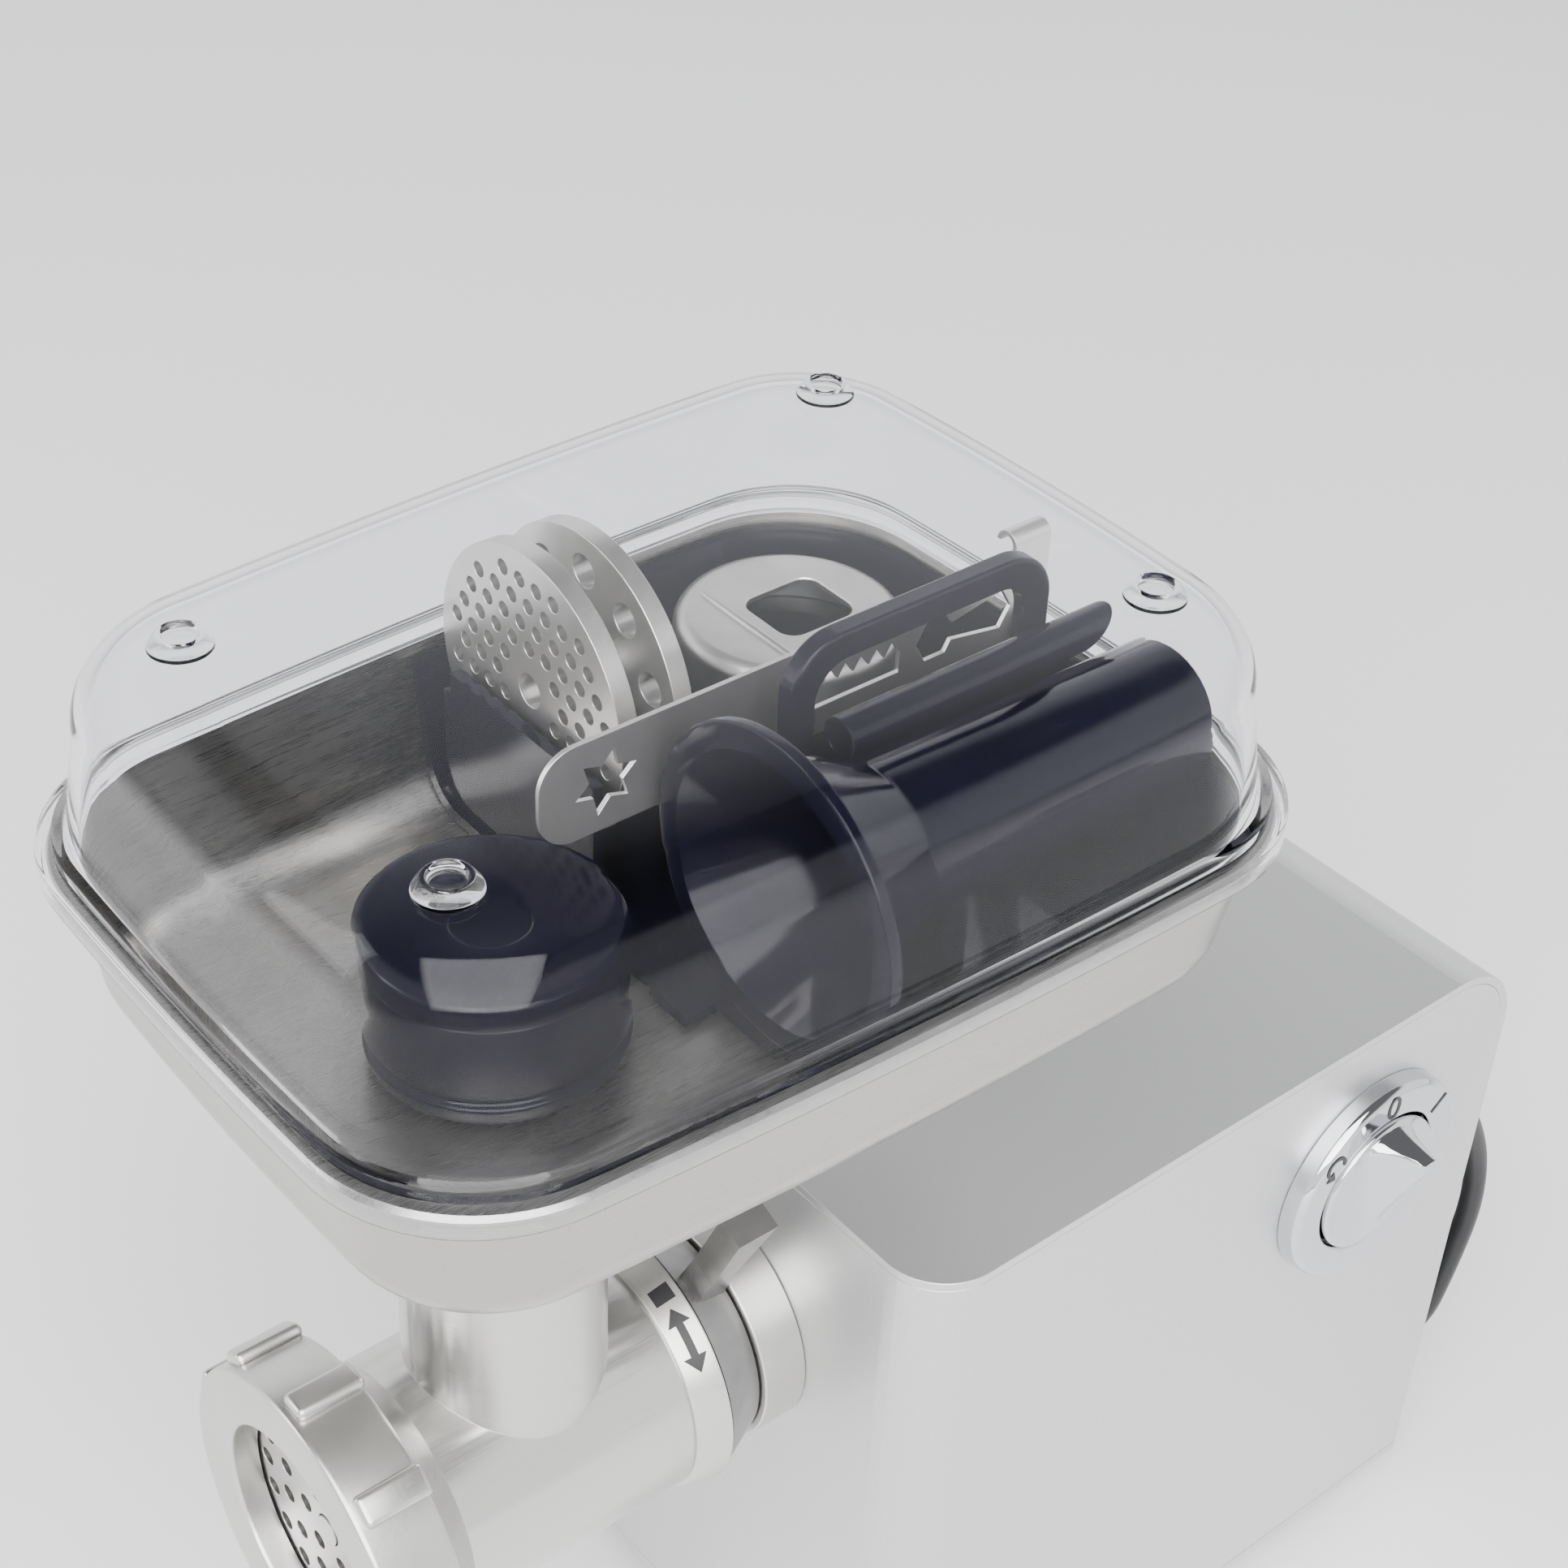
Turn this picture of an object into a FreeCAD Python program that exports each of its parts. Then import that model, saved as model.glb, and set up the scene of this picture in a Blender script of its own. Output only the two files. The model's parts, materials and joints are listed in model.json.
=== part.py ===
import FreeCAD, Part
import math
import os

# Electric meat grinder with a steel tray, a clear lid and its accessories stored in the tray.
# The grinding axis runs along X: the head is at low X, the motor housing at high X, and the
# switch dial faces -Y. While modelling, X = Y = 0 is the centre of the tray and Z = 0 is the
# table. At the end everything shifts so that the origin is the bottom centre of the box.

V = FreeCAD.Vector
X_AXIS = V(1, 0, 0)
Y_AXIS = V(0, 1, 0)
Z_AXIS = V(0, 0, 1)

# ---- driving dimensions, in millimetres ----
AXIS_Z = 155.0            # grinding axis above the table
GAP = 0.3                 # play between parts that move past each other

FOOT_HEIGHT = 12.0
HOUSING_FRONT = 21.8
HOUSING_REAR = 234.7
HOUSING_HALF_WIDTH = 74.0
HOUSING_TOP = 217.0
HOUSING_WALL = 2.5
HOUSING_FRONT_CORNER = 17.0
HOUSING_REAR_ROLL = 26.0

TRAY_BOTTOM = 282.0
TRAY_RIM = 325.0
TRAY_SHEET = 1.2
TRAY_HALF_LENGTH = 114.5
TRAY_HALF_WIDTH = 84.5
TRAY_TAPER = 8.0
SIDE_BOW = 3.0            # how far the middle of each side stands out
SIDE_SPLAY = 2.0          # degrees that each long side opens towards the rear
PLAN_CORNER = 38.0

LID_TOP = 375.0
LID_WALL = 2.6
LID_HALF_LENGTH = 113.5
LID_HALF_WIDTH = 83.5
LID_TAPER = 7.0
LID_SHOULDER = 18.0
LID_FLANGE = 5.1
BOSS_X = 86.5
BOSS_Y_FRONT = 48.1
BOSS_Y_REAR = 54.2

FEED_X = -46.6
FEED_OUTER_R = 24.5
FEED_INNER_R = 22.8
PUSHER_CAP_R = 29.5
PUSHER_CAP_TOP = 316.0
PUSHER_SHAFT_R = 20.4
PUSHER_END_Z = 200.0

PLATE_R = 35.0
PLATE_THICK = 5.0
BARREL_BORE_R = 27.5

DIAL_X = 180.0
DIAL_Z = 167.0
BEZEL_R = 32.0
KNOB_R = 21.0
KNOB_GRIP_Y = -95.0

RACK_FLOOR = 283.6
RACK_TOP = 286.6

TUBE_Y = -44.2
TUBE_Z = 332.0

CORD_R = 3.5
GLAND_Y = -56.0
GLAND_Z = 140.0
GLAND_TILT = 28.0
COIL_X = 297.0
COIL_Y = 46.0
COIL_MEAN_R = 38.5

parts = {}


# ---- helpers ----
def cyl(radius, length, base, axis=X_AXIS):
    return Part.makeCylinder(radius, length, base, axis)


def ring(outer, inner, length, base, axis=X_AXIS):
    return cyl(outer, length, base, axis).cut(cyl(inner, length, base, axis))


def cone(r1, r2, length, base, axis=X_AXIS):
    return Part.makeCone(r1, r2, length, base, axis)


def block(x0, x1, y0, y1, z0, z1):
    return Part.makeBox(x1 - x0, y1 - y0, z1 - z0, V(x0, y0, z0))


def on_axis(x, y=0.0, z=AXIS_Z):
    return V(x, y, z)


def joined(shapes):
    first, rest = shapes[0], shapes[1:]
    return first.multiFuse(rest).removeSplitter() if rest else first


def prism(points, direction):
    return Part.Face(Part.makePolygon(points + [points[0]])).extrude(direction)


def corner_centre(side, side_reach, end, end_reach):
    """The point that lies at the two reaches from the two arc centres, on the +Y side."""
    between = end - side
    gap = between.Length
    along = (side_reach ** 2 - end_reach ** 2 + gap ** 2) / (2 * gap)
    across = math.sqrt(side_reach ** 2 - along ** 2)
    foot = side + between * (along / gap)
    normal = V(-between.y, between.x, 0) * (across / gap)
    return max(foot + normal, foot - normal, key=lambda point: point.y)


def plan_wire(half_length, half_width, corner, z, bow=SIDE_BOW):
    """Closed outline in plan: bowed sides that splay towards +X, bowed ends, tangent corner arcs."""
    side_r = (half_length ** 2 + bow ** 2) / (2 * bow)
    end_r = (half_width ** 2 + bow ** 2) / (2 * bow)
    splay = math.radians(SIDE_SPLAY)
    full_x, full_y = half_length + bow, half_width + bow
    side = V(side_r * math.sin(splay), full_y - side_r * math.cos(splay), 0)
    half_outline = []
    for way in (1, -1):
        end = V(way * (full_x - end_r), 0, 0)
        centre = corner_centre(side, side_r - corner, end, end_r - corner)
        to_end, to_side = centre - end, centre - side
        to_end.normalize()
        to_side.normalize()
        to_middle = to_end + to_side
        to_middle.normalize()
        half_outline.append((end + to_end * end_r, centre + to_middle * corner, side + to_side * side_r))
    (rear_end, rear_mid, rear_side), (front_end, front_mid, front_side) = half_outline

    def arc(*three):
        return Part.Arc(*[V(q.x, q.y, z) for q in three]).toShape()

    def below(q):
        return V(q.x, -q.y, 0)

    return Part.Wire([
        arc(below(rear_end), V(full_x, 0, 0), rear_end),
        arc(rear_end, rear_mid, rear_side),
        arc(rear_side, V(0, full_y, 0), front_side),
        arc(front_side, front_mid, front_end),
        arc(front_end, V(-full_x, 0, 0), below(front_end)),
        arc(below(front_end), below(front_mid), below(front_side)),
        arc(below(front_side), V(0, -full_y, 0), below(rear_side)),
        arc(below(rear_side), below(rear_mid), below(rear_end)),
    ])


def plan_slab(half_length, half_width, corner, z0, z1):
    wire = plan_wire(half_length, half_width, corner, z0)
    return Part.Face(wire).extrude(V(0, 0, z1 - z0))


def tapered(sections):
    return Part.makeLoft([plan_wire(*s) for s in sections], True, True)


def rounded_tub(half_length, half_width, corner, z_open, z_closed, taper, round_r):
    """Tapered body from its open end to its closed end, with a rounded edge at the closed end."""
    up = 1 if z_closed > z_open else -1
    height = abs(z_closed - z_open)
    sections = [(half_length, half_width, corner, z_open)]
    steps = 6
    for k in range(steps + 1):
        angle = math.radians(90.0 * k / steps)
        inset = taper * (1 - round_r / height) + round_r * (1 - math.cos(angle))
        z = z_closed - up * round_r * (1 - math.sin(angle))
        sections.append((half_length - inset, half_width - inset, corner - inset * 0.8, z))
    return tapered(sections)


def gear(teeth, module, width, base, phase, bore):
    """Spur gear on an axis along X; phase turns the first tooth from +Y towards +Z."""
    pitch_r = teeth * module / 2
    step = 2 * math.pi / teeth
    outline = []
    for k in range(teeth):
        mid = phase + k * step
        for radius, share in (
                (pitch_r - 1.15 * module, -0.27), (pitch_r, -0.20), (pitch_r + 0.8 * module, -0.10),
                (pitch_r + 0.8 * module, 0.10), (pitch_r, 0.20), (pitch_r - 1.15 * module, 0.27)):
            angle = mid + share * step
            outline.append(base + V(0, radius * math.cos(angle), radius * math.sin(angle)))
    body = prism(outline, V(width, 0, 0))
    return body.cut(cyl(bore, width, base)) if bore else body


def screw(radius, length, base, direction):
    head = cyl(radius * 1.8, radius * 1.1, base, direction)
    shank = cyl(radius, length, base - direction * length, direction)
    slot = Part.makeBox(radius * 3.2, radius * 0.5, radius * 0.6)
    slot.translate(V(-radius * 1.6, -radius * 0.25, 0))
    slot.Placement = FreeCAD.Placement(V(), FreeCAD.Rotation(Z_AXIS, direction)).multiply(slot.Placement)
    slot.translate(base + direction * (radius * 0.6))
    return head.fuse(shank).cut(slot)


def perforated(x0, centre_y, centre_z, hole_r, spots, bore_r=4.2):
    """Cutting plate facing X with a pattern of holes, a centre hole and a key notch."""
    base = V(x0, centre_y, centre_z)
    holes = [cyl(bore_r, PLATE_THICK, base)]
    holes += [cyl(hole_r, PLATE_THICK, base + V(0, y, z)) for y, z in spots]
    holes.append(block(x0, x0 + PLATE_THICK, centre_y - 2.5, centre_y + 2.5,
                       centre_z - PLATE_R - 1, centre_z - PLATE_R + 3))
    return cyl(PLATE_R, PLATE_THICK, base).cut(Part.makeCompound(holes))


def hex_spots(pitch, reach, keep_out):
    spots = []
    rows = int(reach / (pitch * math.sqrt(3) / 2)) + 1
    for row in range(-rows, rows + 1):
        z = row * pitch * math.sqrt(3) / 2
        for col in range(-rows - 1, rows + 2):
            y = (col + 0.5 * (row % 2)) * pitch
            if keep_out < math.hypot(y, z) < reach:
                spots.append((y, z))
    return spots


def ring_spots(circles):
    spots = []
    for radius, count, turn in circles:
        for k in range(count):
            angle = math.radians(turn + 360.0 * k / count)
            spots.append((radius * math.cos(angle), radius * math.sin(angle)))
    return spots


# ---- motor housing ----
def housing_profile(inset):
    """Side view of the housing, extruded across it, with the rear top edge rolled over."""
    x0, x1 = HOUSING_FRONT + inset, HOUSING_REAR - inset
    z0, z1 = FOOT_HEIGHT, HOUSING_TOP - inset
    roll = HOUSING_REAR_ROLL - inset
    y = -HOUSING_HALF_WIDTH - 1
    mid = roll * math.sqrt(0.5)
    edges = [
        Part.LineSegment(V(x0, y, z0), V(x0, y, z1)).toShape(),
        Part.LineSegment(V(x0, y, z1), V(x1 - roll, y, z1)).toShape(),
        Part.Arc(V(x1 - roll, y, z1), V(x1 - roll + mid, y, z1 - roll + mid), V(x1, y, z1 - roll)).toShape(),
        Part.LineSegment(V(x1, y, z1 - roll), V(x1, y, z0)).toShape(),
        Part.LineSegment(V(x1, y, z0), V(x0, y, z0)).toShape(),
    ]
    return Part.Face(Part.Wire(edges)).extrude(V(0, 2 * HOUSING_HALF_WIDTH + 2, 0))


def housing_plan(inset):
    """Plan of the housing, extruded upwards, with the two front corners rounded."""
    x0, x1 = HOUSING_FRONT + inset, HOUSING_REAR + 1
    w = HOUSING_HALF_WIDTH - inset
    body = block(x0, x1, -w, w, FOOT_HEIGHT - 1, HOUSING_TOP + 1)
    upright = [e for e in body.Edges
               if abs(e.Vertexes[0].X - x0) < 1e-6 and abs(e.Vertexes[1].X - x0) < 1e-6
               and abs(e.Vertexes[0].Y - e.Vertexes[1].Y) < 1e-6]
    return body.makeFillet(HOUSING_FRONT_CORNER - inset, upright)


housing_outer = housing_profile(0).common(housing_plan(0))
housing_inner = housing_profile(HOUSING_WALL).common(housing_plan(HOUSING_WALL))
housing_skin = housing_outer.cut(housing_inner)
panel_zone = housing_profile(0).cut(housing_profile(HOUSING_WALL))
panel_zone = panel_zone.cut(block(HOUSING_FRONT - 1, HOUSING_FRONT + HOUSING_WALL + 0.01, -90, 90,
                                  0, HOUSING_TOP - HOUSING_WALL))
BASE_PLATE_TOP = FOOT_HEIGHT + 3.0
panel_zone = panel_zone.cut(block(0, 250, -90, 90, 0, BASE_PLATE_TOP))

GLAND_DIR = V(math.cos(math.radians(GLAND_TILT)), 0, -math.sin(math.radians(GLAND_TILT)))
GLAND_BASE = V(HOUSING_REAR, GLAND_Y, GLAND_Z)
gland_hole = cyl(7.0, 30, V(HOUSING_REAR - 15, GLAND_Y, GLAND_Z))
vent_slots = [block(HOUSING_REAR - 4, HOUSING_REAR + 1, y - 1.5, y + 1.5, 40, 80)
              for y in range(-20, 61, 8)]
parts["top_rear_panel"] = housing_skin.common(panel_zone).cut(gland_hole).cut(Part.makeCompound(vent_slots))
collar_hole = cyl(29.0, 10, on_axis(HOUSING_FRONT - 2))
dial_hole = cyl(12.0, 10, V(DIAL_X, -HOUSING_HALF_WIDTH - 2, DIAL_Z), Y_AXIS)
wrap = housing_skin.cut(panel_zone).cut(block(0, 250, -90, 90, 0, BASE_PLATE_TOP))
parts["body_wrap"] = wrap.cut(collar_hole).cut(dial_hole)

base_vents = [block(x - 2, x + 2, -35, 35, FOOT_HEIGHT - 1, BASE_PLATE_TOP + 1) for x in range(120, 201, 10)]
base_plate = housing_outer.common(block(0, 250, -90, 90, FOOT_HEIGHT, BASE_PLATE_TOP))
parts["base_plate"] = base_plate.cut(Part.makeCompound(base_vents))

FOOT_SPOTS = [(x, y) for x in (HOUSING_FRONT + 24, HOUSING_REAR - 24) for y in (-50, 50)]
feet = []
foot_screws = []
for x, y in FOOT_SPOTS:
    pad = cone(15, 12.5, FOOT_HEIGHT, V(x, y, 0), Z_AXIS).cut(cyl(5, 6, V(x, y, 0), Z_AXIS))
    feet.append(pad.cut(cyl(1.8, FOOT_HEIGHT, V(x, y, 0), Z_AXIS)))
    foot_screws.append(screw(1.8, 9.0, V(x, y, 6), V(0, 0, -1)))
parts["rubber_feet"] = Part.makeCompound(feet)
parts["foot_screws"] = Part.makeCompound(foot_screws)
parts["base_plate"] = parts["base_plate"].cut(Part.makeCompound(
    [cyl(1.8, 10, V(x, y, FOOT_HEIGHT - 1), Z_AXIS) for x, y in FOOT_SPOTS]))

# collar that the head plugs into, fixed to the front wall
collar = ring(32.0, 26.4, 13.0, on_axis(HOUSING_FRONT - 13.0))
collar_tail = ring(29.0, 26.4, 3.0, on_axis(HOUSING_FRONT))
parts["front_collar"] = collar.fuse(collar_tail)

# ---- gearbox ----
TEETH = ((14, 56, 1.0), (14, 48, 1.25), (16, 44, 1.5))    # pinion, wheel, module of each stage
reach = [(a + b) * m / 2 for a, b, m in TEETH]


def offset(point, distance, degrees):
    angle = math.radians(degrees)
    return (point[0] + distance * math.cos(angle), point[1] + distance * math.sin(angle))


OUTPUT = (0.0, AXIS_Z)
TO_IDLER_2, TO_IDLER_1, TO_MOTOR = -60.0, -157.0, -77.0
IDLER_2 = offset(OUTPUT, reach[2], TO_IDLER_2)
IDLER_1 = offset(IDLER_2, reach[1], TO_IDLER_1)
MOTOR = offset(IDLER_1, reach[0], TO_MOTOR)


def at(x, centre):
    return V(x, centre[0], centre[1])


def mesh_phase(wheel_teeth, pinion_teeth, pinion_phase, direction_degrees):
    """Phase of a wheel whose tooth gap faces the pinion's tooth; direction is wheel to pinion."""
    direction = math.radians(direction_degrees)
    back = direction + math.pi
    pinion_step = 2 * math.pi / pinion_teeth
    shift = (back - pinion_phase) / pinion_step
    shift -= math.floor(shift)
    wheel_step = 2 * math.pi / wheel_teeth
    return direction + (shift + 0.5) * wheel_step


CASE_FRONT, CASE_REAR, CASE_WALL = HOUSING_FRONT + 3.0, 82.0, 3.0
X_STAGE_3, X_STAGE_2, X_STAGE_1 = 38.0, 52.0, 66.0
WHEEL_WIDTH, PINION_WIDTH = 9.0, 12.0

rotor_phase = math.radians(TO_MOTOR + 180)
wheel_1_phase = mesh_phase(TEETH[0][1], TEETH[0][0], rotor_phase, TO_MOTOR)
pinion_2_phase = math.radians(TO_IDLER_1 + 180)
wheel_2_phase = mesh_phase(TEETH[1][1], TEETH[1][0], pinion_2_phase, TO_IDLER_1)
pinion_3_phase = math.radians(TO_IDLER_2 + 180)
wheel_3_phase = mesh_phase(TEETH[2][1], TEETH[2][0], pinion_3_phase, TO_IDLER_2)

parts["motor_pinion"] = gear(TEETH[0][0], TEETH[0][2], PINION_WIDTH, at(X_STAGE_1 - 1, MOTOR),
                             rotor_phase, 3.0)
wheel_1 = gear(TEETH[0][1], TEETH[0][2], WHEEL_WIDTH, at(X_STAGE_1, IDLER_1), wheel_1_phase, 4.0)
pinion_2 = gear(TEETH[1][0], TEETH[1][2], X_STAGE_1 - X_STAGE_2 + 1, at(X_STAGE_2 - 1, IDLER_1),
                pinion_2_phase, 4.0)
parts["first_idler_gear"] = wheel_1.fuse(pinion_2).removeSplitter()
wheel_2 = gear(TEETH[1][1], TEETH[1][2], WHEEL_WIDTH, at(X_STAGE_2, IDLER_2), wheel_2_phase, 5.0)
pinion_3 = gear(TEETH[2][0], TEETH[2][2], X_STAGE_2 - X_STAGE_3 + 1, at(X_STAGE_3 - 1, IDLER_2),
                pinion_3_phase, 5.0)
parts["second_idler_gear"] = wheel_2.fuse(pinion_3).removeSplitter()
parts["output_gear"] = gear(TEETH[2][1], TEETH[2][2], WHEEL_WIDTH + 1, at(X_STAGE_3, OUTPUT),
                            wheel_3_phase, 9.0)

SHAFT_REAR = CASE_REAR + 1.0
IDLER_1_BORE, IDLER_2_BORE, SHAFT_PLAY = 4.0, 5.0, 0.04
parts["idler_shafts"] = Part.makeCompound([
    cyl(IDLER_1_BORE - SHAFT_PLAY, SHAFT_REAR - CASE_FRONT, at(CASE_FRONT, IDLER_1)),
    cyl(IDLER_2_BORE - SHAFT_PLAY, SHAFT_REAR - CASE_FRONT, at(CASE_FRONT, IDLER_2))])


def hexagon(across_flats, length, base):
    radius = across_flats / math.sqrt(3)
    points = [base + V(0, radius * math.cos(math.radians(60 * k)), radius * math.sin(math.radians(60 * k)))
              for k in range(6)]
    return prism(points, V(length, 0, 0))


SOCKET_FRONT = 6.0
output_shaft = cyl(11.0, X_STAGE_3 - 3 - SOCKET_FRONT, on_axis(SOCKET_FRONT))
output_shaft = output_shaft.fuse(cyl(9.0, SHAFT_REAR - 2 - (X_STAGE_3 - 3), on_axis(X_STAGE_3 - 3)))
output_shaft = output_shaft.cut(hexagon(13.0, 18.0, on_axis(SOCKET_FRONT)))
parts["output_shaft"] = output_shaft


def case_outline(grow, x, length):
    """Gear case: lobes round the three wheels and the pinion, joined by a web."""
    lobes = [cyl(TEETH[2][1] * TEETH[2][2] / 2 + grow, length, at(x, OUTPUT)),
             cyl(TEETH[1][1] * TEETH[1][2] / 2 + grow, length, at(x, IDLER_2)),
             cyl(TEETH[0][1] * TEETH[0][2] / 2 + grow, length, at(x, IDLER_1)),
             cyl(14 + grow, length, at(x, MOTOR))]
    return joined(lobes)


case_length = CASE_REAR - CASE_FRONT - 3.0
case = case_outline(3.5 + CASE_WALL, CASE_FRONT, case_length)
case = case.cut(case_outline(3.5, CASE_FRONT + CASE_WALL, case_length))
case = case.fuse([ring(17.0, 13.0, CASE_WALL + 5.0, at(CASE_FRONT, OUTPUT)),
                  ring(29.0, 13.0, CASE_WALL, at(CASE_FRONT, OUTPUT))])
case = case.cut(cyl(13.0, 20, at(CASE_FRONT - 1, OUTPUT)))
case = case.cut(cyl(4.0, 20, at(CASE_FRONT - 1, IDLER_1))).cut(cyl(5.0, 20, at(CASE_FRONT - 1, IDLER_2)))
parts["gear_case"] = case
MOTOR_SHAFT_R = 3.0
ROTOR_BEARING_R = 9.0
cover = case_outline(3.5 + CASE_WALL, CASE_REAR - 3.0, 5.0)
cover = cover.cut(cyl(11.0, 6, at(CASE_REAR - 3.5, OUTPUT))).cut(cyl(4.0, 6, at(CASE_REAR - 3.5, IDLER_1)))
cover = cover.cut(cyl(5.0, 6, at(CASE_REAR - 3.5, IDLER_2))).cut(
    cyl(ROTOR_BEARING_R, 6, at(CASE_REAR - 3.5, MOTOR)))
parts["gear_case_cover"] = cover
parts["shaft_bushes"] = Part.makeCompound([ring(13.0, 11.05, 8.0, on_axis(CASE_FRONT)),
                                           ring(11.0, 9.05, 5.0, on_axis(CASE_REAR - 3.0))])
case_screw_spots = [offset(OUTPUT, 37.7, a) for a in (60, 120, 180)] + [offset(IDLER_2, 34.7, 10)]
parts["case_screws"] = Part.makeCompound(
    [screw(1.6, 4.6, at(CASE_REAR + 2.0, s), X_AXIS) for s in case_screw_spots])
parts["gear_case_cover"] = parts["gear_case_cover"].cut(Part.makeCompound(
    [cyl(1.6, 8, at(CASE_REAR - 4, s)) for s in case_screw_spots]))
parts["gear_case"] = parts["gear_case"].cut(Part.makeCompound(
    [cyl(1.6, 6, at(CASE_REAR - 6, s)) for s in case_screw_spots]))

# ---- motor ----
STATOR_R, STATOR_BORE, ROTOR_R = 41.0, 25.0, 24.5
STATOR_X0, STATOR_X1 = 112.0, 158.0
stator = ring(STATOR_R, STATOR_BORE, STATOR_X1 - STATOR_X0, at(STATOR_X0, MOTOR))
coil_windows = [cyl(6.5, STATOR_X1 - STATOR_X0, at(STATOR_X0, offset(MOTOR, 32.5, a)))
                for a in (45, 135, 225, 315)]
parts["motor_stator"] = stator.cut(Part.makeCompound(coil_windows))
coils = []
for angle in (45, 135, 225, 315):
    coils.append(cyl(6.2, STATOR_X1 - STATOR_X0 + 12, at(STATOR_X0 - 6, offset(MOTOR, 32.5, angle))))
parts["field_windings"] = Part.makeCompound(coils)
shaft_x0, shaft_x1 = X_STAGE_1 - 1, 204.0
parts["rotor_shaft"] = cyl(MOTOR_SHAFT_R, shaft_x1 - shaft_x0, at(shaft_x0, MOTOR))
slots = []
for k in range(12):
    slot = block(STATOR_X0 - 1, STATOR_X1 + 1, MOTOR[0] - 0.8, MOTOR[0] + 0.8,
                 MOTOR[1] + 17, MOTOR[1] + ROTOR_R + 1)
    slot.rotate(at(0, MOTOR), X_AXIS, 30.0 * k)
    slots.append(slot)
rotor_core = ring(ROTOR_R, MOTOR_SHAFT_R, STATOR_X1 - STATOR_X0, at(STATOR_X0, MOTOR))
parts["rotor_core"] = rotor_core.cut(Part.makeCompound(slots))
parts["commutator"] = ring(11.0, MOTOR_SHAFT_R, 16.0, at(168.0, MOTOR))
FAN_X = 92.0
hub = ring(9.0, MOTOR_SHAFT_R, 12.0, at(FAN_X, MOTOR))
disc = ring(34.0, MOTOR_SHAFT_R, 2.0, at(FAN_X, MOTOR))
blades = []
for k in range(9):
    blade = block(FAN_X + 1, FAN_X + 12, MOTOR[0] - 1, MOTOR[0] + 1, MOTOR[1] + 8, MOTOR[1] + 33)
    blade.rotate(at(0, MOTOR), X_AXIS, 40.0 * k)
    blades.append(blade)
parts["cooling_fan"] = joined([hub, disc] + blades)
parts["front_rotor_bearing"] = ring(ROTOR_BEARING_R, MOTOR_SHAFT_R + 0.04, 5.0, at(CASE_REAR - 3.0, MOTOR))
FRONT_BRACKET_X, REAR_BRACKET_X = 106.0, 194.0
bracket = cyl(15.0, 8.0, at(REAR_BRACKET_X, MOTOR))
bracket = bracket.fuse(block(REAR_BRACKET_X, REAR_BRACKET_X + 4, MOTOR[0] - 40, MOTOR[0] + 40,
                             MOTOR[1] - 9, MOTOR[1] + 9))
BOLT_REACH = 36.0
bolt_spots = [(MOTOR[0] - BOLT_REACH, MOTOR[1]), (MOTOR[0] + BOLT_REACH, MOTOR[1])]
bolt_bores = [cyl(2.0, 130, at(80, s)) for s in bolt_spots]
parts["rear_motor_bracket"] = bracket.cut(cyl(8.0, 8, at(REAR_BRACKET_X, MOTOR))).cut(
    Part.makeCompound(bolt_bores))
parts["rear_rotor_bearing"] = ring(8.0, MOTOR_SHAFT_R + 0.04, 8.0, at(REAR_BRACKET_X, MOTOR))
parts["motor_stator"] = parts["motor_stator"].cut(Part.makeCompound(bolt_bores))
front_bridge = block(FRONT_BRACKET_X, FRONT_BRACKET_X + 3, MOTOR[0] - 41, MOTOR[0] + 41,
                     MOTOR[1] - 9, MOTOR[1] + 9)
parts["front_motor_bracket"] = front_bridge.cut(cyl(6.0, 10, at(100, MOTOR))).cut(
    Part.makeCompound(bolt_bores))
parts["motor_bolts"] = Part.makeCompound([
    cyl(2.0, REAR_BRACKET_X + 4 - FRONT_BRACKET_X, at(FRONT_BRACKET_X, s)).fuse(
        cyl(3.6, 3.0, at(REAR_BRACKET_X + 4, s)))
    for s in bolt_spots])
holders, brushes = [], []
for side in (-1, 1):
    z0 = MOTOR[1] + side * 11.3
    z1 = MOTOR[1] + side * 30.0
    low, high = min(z0, z1), max(z0, z1)
    shell = block(171, 181, MOTOR[0] - 5, MOTOR[0] + 5, low, high)
    holders.append(shell.cut(block(172.5, 179.5, MOTOR[0] - 3.5, MOTOR[0] + 3.5, low - 1, high + 1)))
    brush_end = z0 + side * 12
    brushes.append(block(172.6, 179.4, MOTOR[0] - 3.4, MOTOR[0] + 3.4,
                         min(z0, brush_end), max(z0, brush_end)))
parts["brush_holders"] = Part.makeCompound(holders)
parts["carbon_brushes"] = Part.makeCompound(brushes)
saddle = block(STATOR_X0 + 4, STATOR_X1 - 4, MOTOR[0] - 34, MOTOR[0] + 34, BASE_PLATE_TOP, MOTOR[1] - 12)
saddle = saddle.cut(cyl(STATOR_R, 80, at(STATOR_X0 - 10, MOTOR)))
parts["motor_saddle"] = saddle.cut(block(STATOR_X0, STATOR_X1, MOTOR[0] - 24, MOTOR[0] + 24,
                                         BASE_PLATE_TOP, BASE_PLATE_TOP + 10))

# ---- electrics ----
board = block(205, 208, -10, 55, 95, 185)
lugs = [block(196, 205, -6 + 16 * k, 4 + 16 * k, 140 - 10 * k, 165 - 10 * k) for k in range(3)]
parts["control_board"] = joined([board] + lugs)
parts["switch_body"] = block(DIAL_X - 15, DIAL_X + 15, -HOUSING_HALF_WIDTH + HOUSING_WALL,
                             -HOUSING_HALF_WIDTH + 26, DIAL_Z - 15, DIAL_Z + 15).cut(
    cyl(4.4, 20, V(DIAL_X, -HOUSING_HALF_WIDTH, DIAL_Z), Y_AXIS))

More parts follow.
